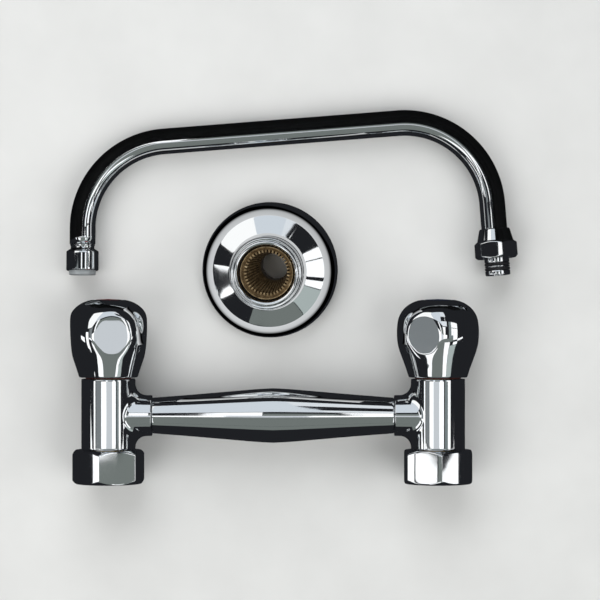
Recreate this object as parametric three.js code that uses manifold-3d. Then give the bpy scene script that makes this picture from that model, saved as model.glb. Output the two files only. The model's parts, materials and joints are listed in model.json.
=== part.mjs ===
// A two-handle wall mixer, laid out in pieces on a flat surface: the mixer body with its two valves,
// the swivel spout, and a wall flange standing over its eccentric union.
// Millimetres, +Z up. The columns run along Y, the bridge along X. The origin is the centre of the
// layout, on the surface that it lies on.

import * as THREE from "three";
import { mergeVertices } from "three/addons/utils/BufferGeometryUtils.js";
import Module from "manifold-3d";

const wasm = await Module();
wasm.setup();

// ---------------------------------------------------------------- driving dimensions

const GAP = 0.3; // clearance between two pieces that touch
const RUN = 0.4; // radial clearance round a piece that moves in a bore
const SIDES = 28; // facets round a large turned piece
const SMALL = 16; // facets round a small turned piece
const DEG = Math.PI / 180;

// mixer body
const CENTRES = 203.2; // between the two supply pipes
const COLUMN_R = 16.65;
const COLUMN_LOW = -20.8; // from the bridge axis down to the foot of the column
const COLUMN_HIGH = 22.6; // and up to its head
const BRIDGE_END_R = 11;
const COLLAR_R = BRIDGE_END_R + 1.6; // boss on the column that takes the bridge
const COLLAR_END = 27; // from the column's axis
const FLARE_R = 7; // fillet between column and boss
const TAIL_R = 10.5; // union tail
const INLET_R = TAIL_R + GAP; // bore that takes it
const INLET_TOP = -12;
const SEAT_R = 6;
const SEAT_TOP = -6.6;
const SEAT_LIP = 1.4;
const HEADWORK_R = 10; // thread in the column
const CHAMBER_R = HEADWORK_R + GAP;
const CHAMBER_LOW = -8;
const WATERWAY_R = 6.2; // through the boss and the bridge

// bridge
const BRIDGE_MID_R = 16.8;
const SPIGOT_R = BRIDGE_END_R - 1.7;
const SPIGOT_LENGTH = 8.6;
const BRIDGE_SEAL_WIDTH = 1.9;
const BRIDGE_SEAL_DEPTH = 1.5;

// outlet under the bridge, and what the spout's joint sets for it
const TUBE_R = 8; // spout tube
const TUBE_WALL = 1;
const TUBE_BORE_R = TUBE_R - TUBE_WALL;
const SPOUT_TAIL_FLANGE_R = TUBE_R + 0.8;
const SPOUT_NUT_BORE_R = SPOUT_TAIL_FLANGE_R + 0.5;
const THREAD_DEPTH = 1.15; // of the half inch pipe thread, in radius
const OUTLET_R = SPOUT_NUT_BORE_R + THREAD_DEPTH;
const BOSS_R = OUTLET_R + 2.75;
const BOSS_LENGTH = 17.5;
const OUTLET_LENGTH = 25.5; // from the bridge axis to the end of the thread
const SPOUT_TAIL_R = 7.7;
const OUTLET_BORE_R = SPOUT_TAIL_R + RUN;

// union nut, its tail and washer
const UNION_HEIGHT = 20.8;
const UNION_WALL = 4; // closed end of the nut
const UNION_BORE_R = 15.4; // pipe thread, one inch
const UNION_SIDE = 5.1; // wall at the flats
const UNION_AF = 2 * (UNION_BORE_R + UNION_SIDE); // across the flats
const UNION_CHAMFER = 3.4;
const TAIL_BORE_R = TAIL_R - 2.5;
const TAIL_FLANGE_R = UNION_BORE_R - RUN;
const TAIL_FLANGE = 3;
const UNION_WASHER = 2;
const UNION_TURN = { left: -10, right: 3 }; // degrees that a corner stands from straight up

// valve
const HEADWORK_LOW = 5;
const HEADWORK_AF = 24;
const HEADWORK_HEX = 7;
const HEADWORK_TOP = 41.5;
const HEADWORK_WASHER = 1.2;
const HEADWORK_WASHER_R = COLUMN_R - 2.45;
const SPINDLE_R = 4.2;
const GLAND_DEPTH = 6.5;
const GLAND_R = SPINDLE_R + 2.4;
const GLAND_HEAD_R = GLAND_R + 1.4;
const HEADWORK_NECK_R = GLAND_R + 2.2;
const GLAND_HEAD = 3;
const SEAL_HEIGHT = 3;
const SPINDLE_LOW = 6.5;
const SPINDLE_TOP = 59.5;
const SPINDLE_COLLAR_R = SPINDLE_R + 1.8;
const SPINDLE_COLLAR = 3.1;
const SPINDLE_COLLAR_LOW = 19.6;
const PISTON_R = HEADWORK_R - 2.1;
const PISTON_FLATS = 2 * (SPINDLE_R + RUN + 1.9); // across the two flats that stop it turning
const PISTON_TOP = 13;
const PISTON_HEAD = 2;
const SEAT_WASHER = 2.6;
const TRAVEL = 6; // of the piston, closed to open

// handle
const HANDLE_BASE = 23.6;
const HANDLE_HEIGHT = 48.4;
const HANDLE_FACETS = 4;
const HANDLE_CUP_R = HEADWORK_AF / 2 / Math.cos(30 * DEG) + 1.34;
const HANDLE_CUP = 10; // depth of the wide hollow in its base
const HANDLE_NECK_R = GLAND_HEAD_R + 2.2;
const HANDLE_NECK_TOP = 46;
const HANDLE_WEB = 6; // under the screw head
const CAP_R = 9;
const CAP_HEIGHT = 3;
const SCREW_R = 2.1;
const SCREW_HEAD_R = 4.2;
const SCREW_HEAD = 2.7;
const SCREW_DEPTH = 9; // into the spindle
const HANDLE_TURN = { left: 9.3, right: -24.7 };

// spout, measured from the end of its tail
const TUBE_SIDES = 14;
const TUBE_STEPS = 34; // along the centre line
const SPOUT_RISE = 99.4;
const SPOUT_REACH = 255.5;
const BEND_R = 54.5;
const OUTLET_LEAN = 4.5; // degrees past straight down, outwards
const OUTLET_DROP = 59.9; // from the run's axis down to the tube's end
const SPOUT_NUT_WALL = 2.7; // at the flats
const SPOUT_NUT_AF = 2 * (SPOUT_NUT_BORE_R + SPOUT_NUT_WALL);
const SPOUT_NUT_LOW = 10.5;
const SPOUT_NUT_HEX = 10.5;
const SPOUT_NUT_NECK = 8;
const SPOUT_NUT_LIP = 0.9; // wall at the top of the neck
const SPOUT_NUT_TURN = 13;
const SPOUT_TAIL_FLANGE = 2.6;
const SPOUT_GROOVES = [2.8, 5.7]; // height of each ring's groove
const SPOUT_GROOVE = 2.3;
const SPOUT_GROOVE_R = SPOUT_TAIL_R - 1.35;
const SPOUT_TAIL_BORE_R = SPOUT_GROOVE_R - 0.85;
const SPOUT_SLIP_RING = 2;
const SPOUT_SPIGOT = 11; // of the tail, up inside the tube

// aerator, measured down from the tube's end
const AERATOR_R = TUBE_R + 2;
const AERATOR_INLET_R = TUBE_BORE_R - 1.5;
const AERATOR_NECK_R = TUBE_R - 0.7;
const AERATOR_SPIGOT = 6; // up inside the tube
const AERATOR_SHOULDER = 4.7;
const AERATOR_LENGTH = 16.7;
const AERATOR_BORE_R = AERATOR_R - 1.4;
const AERATOR_STEP = 5.5;
const AERATOR_INSERT_END = 19.4;
const AERATOR_WASHER = 2;
const AERATOR_INSERT_WALL = 1.5;

// flange and eccentric union, measured up from the flange's rim
const FLANGE_R = 42.2;
const FLANGE_HEIGHT = 37.6;
const FLANGE_WALL = 1.6;
const ECCENTRIC_R = 16.4; // pipe thread, one inch
const FLANGE_LIP_R = ECCENTRIC_R + 0.85;
const FLANGE_BEAD_R = FLANGE_LIP_R + 5.55;
const ECCENTRIC_SMALL_R = 13.2; // pipe thread, three quarter inch
const ECCENTRIC_OFFSET = 5;
const ECCENTRIC_MOUTH_R = ECCENTRIC_R - 3;
const ECCENTRIC_BORE_R = ECCENTRIC_SMALL_R - 4.4;
const ECCENTRIC_LOW = -4.4;
const ECCENTRIC_TOP = 32.6;
const ECCENTRIC_STEP = [11, 15]; // where the small end widens into the large one
const ECCENTRIC_TURN = 38; // degrees from +X to the side that the passage leans to

// where the three groups lie, about the middle of the mixer
const MIXER_Y = -71.2;
const SPOUT_AT = [139.5, 15.4];
const SPOUT_YAW = 4.4;
const SPOUT_TILT = [-2.55, -0.69]; // about X and Y, so that nut, bend and aerator touch the surface
const FLANGE_AT = [-2, 19];
const FLANGE_TILT = 5.6; // it leans on the end of the union
const FLANGE_LEANS_TO = 231; // degrees from +X

// ---------------------------------------------------------------- materials

function material(color, roughness, metalness) {
  return new THREE.MeshStandardMaterial({ color, roughness, metalness });
}

const chrome = material(0xd8dcde, 0.06, 1);
const brass = material(0x9a7a48, 0.35, 1);
const steel = material(0xb4b6b8, 0.3, 1);
const rubber = material(0x1b1b1c, 0.7, 0);
const fibre = material(0x8c2f24, 0.8, 0);
const slipPlastic = material(0xece9e0, 0.45, 0);
const innerPlastic = material(0xd0d3d4, 0.4, 0);
const hotPlastic = material(0xb3201d, 0.25, 0);
const coldPlastic = material(0x1f4fa3, 0.25, 0);

// ---------------------------------------------------------------- solids

// A closed mesh with shared vertices, no empty triangles, and its faces pointing out.
function tidy(geometry) {
  const bare = geometry.clone();
  bare.deleteAttribute("normal");
  bare.deleteAttribute("uv");
  const merged = mergeVertices(bare, 1e-4);
  const position = merged.getAttribute("position");
  const index = merged.getIndex().array;
  const corner = [new THREE.Vector3(), new THREE.Vector3(), new THREE.Vector3()];
  const kept = [];
  let volume = 0;
  for (let i = 0; i < index.length; i += 3) {
    const [a, b, c] = [index[i], index[i + 1], index[i + 2]];
    if (a === b || b === c || a === c) continue;
    kept.push(a, b, c);
    [a, b, c].forEach((v, k) => corner[k].fromBufferAttribute(position, v));
    volume += corner[0].dot(corner[1].clone().cross(corner[2])) / 6;
  }
  if (volume < 0) {
    for (let i = 0; i < kept.length; i += 3) [kept[i], kept[i + 1]] = [kept[i + 1], kept[i]];
  }
  const out = new THREE.BufferGeometry();
  out.setAttribute("position", position.clone());
  out.setIndex(kept);
  return out;
}

function toSolid(geometry) {
  const closed = tidy(geometry);
  return new wasm.Manifold(
    new wasm.Mesh({
      numProp: 3,
      vertProperties: new Float32Array(closed.getAttribute("position").array),
      triVerts: new Uint32Array(closed.getIndex().array),
    })
  );
}

function toGeometry(solid) {
  const { vertProperties, triVerts } = solid.getMesh();
  const out = new THREE.BufferGeometry();
  out.setAttribute("position", new THREE.BufferAttribute(new Float32Array(vertProperties), 3));
  out.setIndex(new THREE.BufferAttribute(new Uint32Array(triVerts), 1));
  return out;
}

function combine(first, others, how) {
  return toGeometry(others.reduce((sum, other) => sum[how](toSolid(other)), toSolid(first)));
}

const join = (first, ...others) => combine(first, others, "add");
const cut = (first, ...others) => combine(first, others, "subtract");
const common = (first, ...others) => combine(first, others, "intersect");

// Turned about Y. The outline's points are [radius, height], and it starts and ends on the axis.
function turned(outline, sides = SMALL) {
  const points = outline.map(([r, y]) => new THREE.Vector2(r, y));
  return tidy(new THREE.LatheGeometry(points, sides));
}

// A turned ring, whose outline closes on itself.
function ring(outline, sides = SMALL) {
  return turned([...outline, outline[0]], sides);
}

function washer(inner, outer, low, high, sides = SMALL) {
  return ring([[inner, low], [outer, low], [outer, high], [inner, high]], sides);
}

function rod(radius, low, high, sides = SMALL) {
  return turned([[0, low], [radius, low], [radius, high], [0, high]], sides);
}

// A hexagon bar along Y with its corners at 30 degrees from +Z, turned down at both ends.
function hexagon(flats, low, high, chamfer) {
  const bar = rod(flats / 2 / Math.cos(30 * DEG), low, high, 6);
  const limit = flats / 2 / Math.cos(30 * DEG) + 0.5;
  const end = flats / 2 - 0.2;
  if (!chamfer) return bar;
  const outline = [
    [0, low],
    [end, low],
    [limit, low + chamfer],
    [limit, high - chamfer],
    [end, high],
    [0, high],
  ];
  return common(bar, turned(outline, SIDES));
}

function box(x, y, z, at = [0, 0, 0]) {
  return new THREE.BoxGeometry(x, y, z).translate(...at);
}

// Oval rings along +X, each [x, half height in Y, half depth in Z], closed at both ends.
function ovals(rings, sides) {
  const positions = [];
  const index = [];
  for (const [x, y, z] of rings) {
    for (let k = 0; k < sides; k++) {
      const turn = (2 * Math.PI * k) / sides;
      positions.push(x, y * Math.cos(turn), z * Math.sin(turn));
    }
  }
  const last = rings.length - 1;
  positions.push(rings[0][0], 0, 0, rings[last][0], 0, 0);
  const [startHub, endHub] = [rings.length * sides, rings.length * sides + 1];
  for (let k = 0; k < sides; k++) {
    const next = (k + 1) % sides;
    for (let i = 0; i < last; i++) {
      const [a, b] = [i * sides + k, i * sides + next];
      index.push(a, b, b + sides, a, b + sides, a + sides);
    }
    index.push(startHub, next, k, endHub, last * sides + k, last * sides + next);
  }
  const out = new THREE.BufferGeometry();
  out.setAttribute("position", new THREE.Float32BufferAttribute(positions, 3));
  out.setIndex(index);
  return tidy(out);
}

function part(name, geometry, look, turn = 0) {
  const mesh = new THREE.Mesh(geometry, look);
  mesh.name = name;
  mesh.rotation.y = turn * DEG;
  return mesh;
}

function group(...children) {
  return new THREE.Group().add(...children);
}

// ---------------------------------------------------------------- valve column

// The boss's fillet, from the column's side out to the boss.
function flareRings() {
  const rings = [[6, COLUMN_R - 1, 15.2], [10, COLUMN_R + 0.6, 14.1]];
  const steps = 4;
  for (let k = 0; k <= steps; k++) {
    const turn = (k / steps) * 90 * DEG;
    const x = COLUMN_R + FLARE_R * (1 - Math.cos(turn));
    const y = COLLAR_R + FLARE_R * (1 - Math.sin(turn));
    const z = COLLAR_R + 0.4 * (1 - k / steps);
    rings.push([x, y, z]);
  }
  rings.push([COLLAR_END - 1.2, COLLAR_R, COLLAR_R], [COLLAR_END, COLLAR_R - 1, COLLAR_R - 1]);
  return rings;
}

// A column at the origin, with its boss along +X.
function valveColumn() {
  const body = rod(COLUMN_R, COLUMN_LOW, COLUMN_HIGH, SIDES);
  const over = 1;
  const waterway = turned([
    [0, COLUMN_LOW - over],
    [INLET_R, COLUMN_LOW - over],
    [INLET_R, INLET_TOP],
    [SEAT_R, INLET_TOP],
    [SEAT_R, SEAT_TOP],
    [SEAT_R + SEAT_LIP, SEAT_TOP],
    [SEAT_R + SEAT_LIP, CHAMBER_LOW],
    [CHAMBER_R, CHAMBER_LOW],
    [CHAMBER_R, COLUMN_HIGH + over],
    [0, COLUMN_HIGH + over],
  ]);
  const side = rod(WATERWAY_R, 0, COLLAR_END + over).rotateZ(-90 * DEG);
  const socketStart = COLLAR_END - SPIGOT_LENGTH - GAP;
  const socket = rod(SPIGOT_R + RUN, socketStart, COLLAR_END + over).rotateZ(-90 * DEG);
  return cut(join(body, ovals(flareRings(), SIDES - 4)), waterway, side, socket);
}

// ---------------------------------------------------------------- bridge

function bridgeBar() {
  const face = CENTRES / 2 - COLLAR_END - GAP;
  const end = face + SPIGOT_LENGTH - GAP;
  const groove = face + SPIGOT_LENGTH / 2 - BRIDGE_SEAL_WIDTH / 2 - GAP;
  const grooveEnd = groove + BRIDGE_SEAL_WIDTH + 2 * GAP;
  const grooveR = SPIGOT_R - BRIDGE_SEAL_DEPTH;
  const half = [
    [BRIDGE_MID_R, 0],
    [BRIDGE_MID_R - 0.5, 0.13 * face],
    [BRIDGE_MID_R - 1.8, 0.34 * face],
    [BRIDGE_END_R, face],
    [SPIGOT_R, face],
    [SPIGOT_R, groove],
    [grooveR, groove],
    [grooveR, grooveEnd],
    [SPIGOT_R, grooveEnd],
    [SPIGOT_R, end],
    [0, end],
  ];
  const mirrored = half.slice(1).reverse().map(([r, x]) => [r, -x]);
  const bar = turned([...mirrored, ...half], SIDES).rotateZ(-90 * DEG);
  const boss = turned(
    [
      [0, 0],
      [BOSS_R, 0],
      [BOSS_R, BOSS_LENGTH],
      [OUTLET_R, BOSS_LENGTH],
      [OUTLET_R, OUTLET_LENGTH],
      [0, OUTLET_LENGTH],
    ],
    SIDES
  ).rotateX(-90 * DEG);
  const through = rod(WATERWAY_R, -end - 1, end + 1).rotateZ(-90 * DEG);
  const tailDepth = SPOUT_NUT_LOW + SPOUT_NUT_HEX - SPOUT_TAIL_FLANGE + 1;
  const down = turned([
    [0, 0],
    [WATERWAY_R, 0],
    [WATERWAY_R, OUTLET_LENGTH - tailDepth],
    [OUTLET_BORE_R, OUTLET_LENGTH - tailDepth],
    [OUTLET_BORE_R, OUTLET_LENGTH + 1],
    [0, OUTLET_LENGTH + 1],
  ]).rotateX(-90 * DEG);
  return cut(join(bar, boss), through, down);
}

function bridgeSeal(side) {
  const face = CENTRES / 2 - COLLAR_END - GAP;
  const low = face + SPIGOT_LENGTH / 2 - BRIDGE_SEAL_WIDTH / 2;
  const inner = SPIGOT_R - BRIDGE_SEAL_DEPTH + GAP;
  const seal = washer(inner, SPIGOT_R + 0.1, low, low + BRIDGE_SEAL_WIDTH);
  return seal.rotateZ(-side * 90 * DEG);
}

// ---------------------------------------------------------------- union

const unionTop = COLUMN_LOW - GAP;
const unionLow = unionTop - UNION_HEIGHT;
const tailFlangeTop = unionTop - UNION_WALL - RUN;
const tailFlangeLow = tailFlangeTop - TAIL_FLANGE;

function unionNut() {
  const body = hexagon(UNION_AF, unionLow, unionTop, UNION_CHAMFER);
  const bore = turned([
    [0, unionLow - 1],
    [UNION_BORE_R, unionLow - 1],
    [UNION_BORE_R, unionTop - UNION_WALL],
    [TAIL_R + RUN, unionTop - UNION_WALL],
    [TAIL_R + RUN, unionTop + 1],
    [0, unionTop + 1],
  ], SIDES);
  return cut(body, bore);
}

function unionTail() {
  return ring([
    [TAIL_BORE_R, tailFlangeLow],
    [TAIL_FLANGE_R, tailFlangeLow],
    [TAIL_FLANGE_R, tailFlangeTop],
    [TAIL_R, tailFlangeTop],
    [TAIL_R, INLET_TOP - GAP],
    [TAIL_BORE_R, INLET_TOP - GAP],
  ]);
}

// ---------------------------------------------------------------- valve

const hexLow = COLUMN_HIGH + HEADWORK_WASHER + 2 * GAP;
const collarTop = SPINDLE_COLLAR_LOW + SPINDLE_COLLAR;

function keyed(radius, flats, low, high) {
  return common(rod(radius, low, high), box(2 * radius, high - low, flats, [0, (low + high) / 2, 0]));
}

function headworkBody() {
  const stem = turned([
    [0, HEADWORK_LOW],
    [HEADWORK_R, HEADWORK_LOW],
    [HEADWORK_R, hexLow + 1],
    [HEADWORK_NECK_R, hexLow + 1],
    [HEADWORK_NECK_R, HEADWORK_TOP],
    [0, HEADWORK_TOP],
  ]);
  const hex = hexagon(HEADWORK_AF, hexLow, hexLow + HEADWORK_HEX, 0);
  const guideTop = SPINDLE_COLLAR_LOW - GAP;
  const guide = keyed(PISTON_R + RUN, PISTON_FLATS + 2 * RUN, HEADWORK_LOW - 1, guideTop);
  const bore = turned([
    [0, HEADWORK_LOW - 1],
    [SPINDLE_COLLAR_R + RUN, HEADWORK_LOW - 1],
    [SPINDLE_COLLAR_R + RUN, collarTop + RUN],
    [SPINDLE_R + GAP, collarTop + RUN],
    [SPINDLE_R + GAP, HEADWORK_TOP - GLAND_DEPTH],
    [GLAND_R, HEADWORK_TOP - GLAND_DEPTH],
    [GLAND_R, HEADWORK_TOP + 1],
    [0, HEADWORK_TOP + 1],
  ]);
  return cut(join(stem, hex), guide, bore);
}

function valvePiston() {
  const low = SEAT_TOP + SEAT_WASHER + 2 * GAP;
  const head = rod(PISTON_R, low, low + PISTON_HEAD);
  const guide = keyed(PISTON_R, PISTON_FLATS, low + PISTON_HEAD / 2, PISTON_TOP);
  const clearOfSpindle = SPINDLE_LOW - TRAVEL - 1.1;
  return cut(join(head, guide), rod(SPINDLE_R + RUN, clearOfSpindle, PISTON_TOP + 1));
}

function spindle() {
  return turned(
    [
      [0, SPINDLE_LOW],
      [SPINDLE_R, SPINDLE_LOW],
      [SPINDLE_R, SPINDLE_COLLAR_LOW],
      [SPINDLE_COLLAR_R, SPINDLE_COLLAR_LOW],
      [SPINDLE_COLLAR_R, collarTop],
      [SPINDLE_R, collarTop],
      [SPINDLE_R, SPINDLE_TOP],
      [SCREW_R + RUN, SPINDLE_TOP],
      [SCREW_R + RUN, SPINDLE_TOP - SCREW_DEPTH - 1],
      [0, SPINDLE_TOP - SCREW_DEPTH - 1],
    ],
    16
  );
}

function glandNut() {
  const thread = HEADWORK_TOP - GLAND_DEPTH + SEAL_HEIGHT + 2 * GAP;
  return ring([
    [SPINDLE_R + GAP, thread],
    [GLAND_R - GAP, thread],
    [GLAND_R - GAP, HEADWORK_TOP + GAP],
    [GLAND_HEAD_R, HEADWORK_TOP + GAP],
    [GLAND_HEAD_R, HEADWORK_TOP + GAP + GLAND_HEAD],
    [SPINDLE_R + GAP, HEADWORK_TOP + GAP + GLAND_HEAD],
  ]);
}

// ---------------------------------------------------------------- handle

const handleTop = HANDLE_BASE + HANDLE_HEIGHT;
const recessFloor = SPINDLE_TOP + 0.5 + HANDLE_WEB;

// Outline of the handle, [radius, height over its base].
const HANDLE_OUTLINE = [
  [18, 0],
  [19.6, 5],
  [21.4, 10],
  [23.6, 16],
  [25, 21],
  [25.5, 26.5],
  [25.2, 32],
  [24.1, 37],
  [21.6, 41.5],
  [17.6, 45],
  [12.5, 47.2],
  [6, HANDLE_HEIGHT - 0.2],
  [0, HANDLE_HEIGHT],
];

// Middle line of each finger facet, the same way.
const FACET_LINE = [
  [18.6, 0],
  [19.8, 5.5],
  [21.8, 15],
  [22.9, 26.5],
  [23, 34],
  [21.9, 40],
  [20.2, 43.6],
  [17.4, HANDLE_HEIGHT],
];

function facetCutter(turn) {
  const outside = 32;
  const width = 32;
  const shape = new THREE.Shape();
  shape.moveTo(outside, 0);
  shape.lineTo(outside, HANDLE_HEIGHT);
  [...FACET_LINE].reverse().forEach(([r, h]) => shape.lineTo(r, h));
  shape.closePath();
  const cutter = new THREE.ExtrudeGeometry(shape, { depth: width, bevelEnabled: false });
  return cutter.translate(0, HANDLE_BASE, -width / 2).rotateY((turn - 90) * DEG);
}

function handle() {
  const outline = HANDLE_OUTLINE.map(([r, h]) => [r, HANDLE_BASE + h]);
  const body = turned([[0, HANDLE_BASE], ...outline], SIDES);
  const facets = [];
  for (let k = 0; k < HANDLE_FACETS; k++) facets.push(facetCutter((k * 360) / HANDLE_FACETS));
  const hollow = turned([
    [0, HANDLE_BASE - 1],
    [HANDLE_CUP_R, HANDLE_BASE - 1],
    [HANDLE_CUP_R, HANDLE_BASE + HANDLE_CUP],
    [HANDLE_NECK_R, HANDLE_BASE + HANDLE_CUP],
    [HANDLE_NECK_R, HANDLE_NECK_TOP],
    [SPINDLE_R + GAP, HANDLE_NECK_TOP],
    [SPINDLE_R + GAP, SPINDLE_TOP + 0.5],
    [SCREW_R + RUN, SPINDLE_TOP + 0.5],
    [SCREW_R + RUN, recessFloor],
    [CAP_R + GAP, recessFloor],
    [CAP_R + GAP, handleTop + 1],
    [0, handleTop + 1],
  ]);
  return cut(body, ...facets, hollow);
}

function handleScrew() {
  const under = recessFloor + GAP;
  return turned(
    [
      [0, SPINDLE_TOP - SCREW_DEPTH],
      [SCREW_R, SPINDLE_TOP - SCREW_DEPTH],
      [SCREW_R, under],
      [SCREW_HEAD_R, under],
      [SCREW_HEAD_R, under + SCREW_HEAD],
      [0, under + SCREW_HEAD],
    ],
    12
  );
}

function indexCap() {
  const low = recessFloor + SCREW_HEAD + 2 * GAP;
  return turned([
    [0, low],
    [CAP_R, low],
    [CAP_R, low + CAP_HEIGHT - 0.8],
    [CAP_R - 1, low + CAP_HEIGHT - 0.2],
    [0, low + CAP_HEIGHT],
  ]);
}

// ---------------------------------------------------------------- one side of the mixer

function mixerSide(side, cap) {
  const sign = side === "left" ? -1 : 1;
  const low = COLUMN_HIGH + GAP;
  const glandFloor = HEADWORK_TOP - GLAND_DEPTH;
  const facing = sign > 0 ? 180 : 0; // the boss points to the middle
  const parts = group(
    part(`valve_column_${side}`, valveColumn(), chrome, facing),
    part(`union_nut_${side}`, unionNut(), chrome, UNION_TURN[side]),
    part(`union_tail_${side}`, unionTail(), brass),
    part(
      `union_washer_${side}`,
      washer(TAIL_BORE_R + GAP, TAIL_FLANGE_R - 0.4, tailFlangeLow - GAP - UNION_WASHER, tailFlangeLow - GAP),
      fibre
    ),
    part(`seat_washer_${side}`, rod(PISTON_R - 0.5, SEAT_TOP + GAP, SEAT_TOP + GAP + SEAT_WASHER), rubber),
    part(`valve_piston_${side}`, valvePiston(), brass),
    part(`headwork_washer_${side}`, washer(HEADWORK_R + GAP, HEADWORK_WASHER_R, low, low + HEADWORK_WASHER), fibre),
    part(`headwork_body_${side}`, headworkBody(), brass),
    part(`spindle_${side}`, spindle(), brass),
    part(
      `spindle_seal_${side}`,
      washer(SPINDLE_R + RUN, GLAND_R - GAP, glandFloor + GAP, glandFloor + GAP + SEAL_HEIGHT),
      rubber
    ),
    part(`gland_nut_${side}`, glandNut(), brass),
    part(`handle_${side}`, handle(), chrome, HANDLE_TURN[side]),
    part(`handle_screw_${side}`, handleScrew(), steel),
    part(`index_cap_${side}`, indexCap(), cap)
  );
  parts.position.x = (sign * CENTRES) / 2;
  return parts;
}

function mixer() {
  return group(
    mixerSide("left", hotPlastic),
    mixerSide("right", coldPlastic),
    part("bridge_bar", bridgeBar(), chrome),
    part("bridge_seal_left", bridgeSeal(-1), rubber),
    part("bridge_seal_right", bridgeSeal(1), rubber)
  );
}

// ---------------------------------------------------------------- spout

const nutHexTop = SPOUT_NUT_LOW + SPOUT_NUT_HEX;
const nutShoulder = nutHexTop + 0.8; // inside, what the tail's flange hangs on
const tailFlangeUp = nutShoulder - GAP;
const tubeStart = nutShoulder + GAP / 2;

// Centre line of the tube: up from the nut, over two bends, and down to the outlet.
function tubePath() {
  const path = new THREE.CurvePath();
  const at = (x, y) => new THREE.Vector3(x, y, 0);
  const bend = (cx, from, to) => {
    const points = [];
    const steps = 24;
    for (let k = 0; k <= steps; k++) {
      const turn = (from + ((to - from) * k) / steps) * DEG;
      points.push(at(cx + BEND_R * Math.cos(turn), SPOUT_RISE - BEND_R + BEND_R * Math.sin(turn)));
    }
    for (let k = 0; k < steps; k++) path.add(new THREE.LineCurve3(points[k], points[k + 1]));
    return points[steps];
  };
  path.add(new THREE.LineCurve3(at(0, tubeStart), at(0, SPOUT_RISE - BEND_R)));
  const first = bend(-BEND_R, 0, 90);
  const second = at(-SPOUT_REACH + BEND_R, SPOUT_RISE);
  path.add(new THREE.LineCurve3(first, second));
  const last = bend(second.x, 90, 180 - OUTLET_LEAN);
  const drop = last.y - (SPOUT_RISE - OUTLET_DROP);
  const end = at(last.x - drop * Math.tan(OUTLET_LEAN * DEG), last.y - drop);
  path.add(new THREE.LineCurve3(last, end));
  return { path, end };
}

function spoutTube(path) {
  const section = new THREE.Shape().absarc(0, 0, TUBE_R, 0, 2 * Math.PI);
  section.holes.push(new THREE.Path().absarc(0, 0, TUBE_BORE_R, 0, 2 * Math.PI, true));
  return tidy(
    new THREE.ExtrudeGeometry(section, {
      extrudePath: path,
      steps: TUBE_STEPS,
      curveSegments: TUBE_SIDES / 2,
      bevelEnabled: false,
    })
  );
}

function spoutNut() {
  const hex = hexagon(SPOUT_NUT_AF, SPOUT_NUT_LOW, nutHexTop, 1.9);
  const neckTop = nutHexTop + SPOUT_NUT_NECK;
  const neckFoot = SPOUT_NUT_AF / 2 - 0.8;
  const neck = turned([
    [0, nutHexTop - 1],
    [neckFoot, nutHexTop - 1],
    [neckFoot, nutHexTop],
    [TUBE_R + RUN + SPOUT_NUT_LIP, neckTop],
    [0, neckTop],
  ], SIDES);
  const bore = turned([
    [0, SPOUT_NUT_LOW - 1],
    [SPOUT_NUT_BORE_R, SPOUT_NUT_LOW - 1],
    [SPOUT_NUT_BORE_R, nutShoulder],
    [TUBE_R + RUN, nutShoulder],
    [TUBE_R + RUN, neckTop + 1],
    [0, neckTop + 1],
  ]);
  return cut(join(hex, neck), bore);
}

function spoutTail() {
  const outline = [[SPOUT_TAIL_BORE_R, 0], [SPOUT_TAIL_R - 0.5, 0], [SPOUT_TAIL_R, 0.5]];
  for (const low of SPOUT_GROOVES) {
    outline.push([SPOUT_TAIL_R, low], [SPOUT_GROOVE_R, low]);
    outline.push([SPOUT_GROOVE_R, low + SPOUT_GROOVE], [SPOUT_TAIL_R, low + SPOUT_GROOVE]);
  }
  outline.push(
    [SPOUT_TAIL_R, tailFlangeUp - SPOUT_TAIL_FLANGE],
    [SPOUT_TAIL_FLANGE_R, tailFlangeUp - SPOUT_TAIL_FLANGE],
    [SPOUT_TAIL_FLANGE_R, tailFlangeUp],
    [TUBE_BORE_R - GAP, tailFlangeUp],
    [TUBE_BORE_R - GAP, tailFlangeUp + SPOUT_SPIGOT],
    [SPOUT_TAIL_BORE_R, tailFlangeUp + SPOUT_SPIGOT]
  );
  return ring(outline);
}

function spoutORing(low) {
  return washer(SPOUT_GROOVE_R + 0.25, SPOUT_TAIL_R + 0.2, low + 0.25, low + SPOUT_GROOVE - 0.25);
}

function slipRing() {
  const high = tailFlangeUp - SPOUT_TAIL_FLANGE - GAP;
  return washer(SPOUT_TAIL_R + GAP, SPOUT_NUT_BORE_R - GAP, high - SPOUT_SLIP_RING, high);
}

// Turned pieces of the outlet, with the tube's end at the origin and the outlet along -Y.
function aeratorHousing() {
  return ring([
    [TUBE_BORE_R - GAP, AERATOR_SPIGOT],
    [TUBE_BORE_R - GAP, -GAP],
    [TUBE_R, -GAP],
    [AERATOR_NECK_R, -1.5],
    [AERATOR_NECK_R, -3],
    [AERATOR_R, -AERATOR_SHOULDER],
    [AERATOR_R, 0.5 - AERATOR_LENGTH],
    [AERATOR_R - 0.5, -AERATOR_LENGTH],
    [AERATOR_BORE_R, -AERATOR_LENGTH],
    [AERATOR_BORE_R, -AERATOR_STEP],
    [AERATOR_INLET_R, -AERATOR_STEP],
    [AERATOR_INLET_R, AERATOR_SPIGOT],
  ]);
}

function aeratorWasher() {
  const high = -AERATOR_STEP - GAP;
  return washer(AERATOR_INLET_R + 0.4, AERATOR_BORE_R - GAP, high - AERATOR_WASHER, high);
}

function aeratorInsert() {
  const high = -AERATOR_STEP - AERATOR_WASHER - 2 * GAP;
  const outer = AERATOR_BORE_R - GAP;
  return turned([
    [0, high],
    [outer, high],
    [outer, -AERATOR_INSERT_END],
    [outer - AERATOR_INSERT_WALL, -AERATOR_INSERT_END],
    [outer - AERATOR_INSERT_WALL, high - 2],
    [0, high - 2],
  ]);
}

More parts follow.
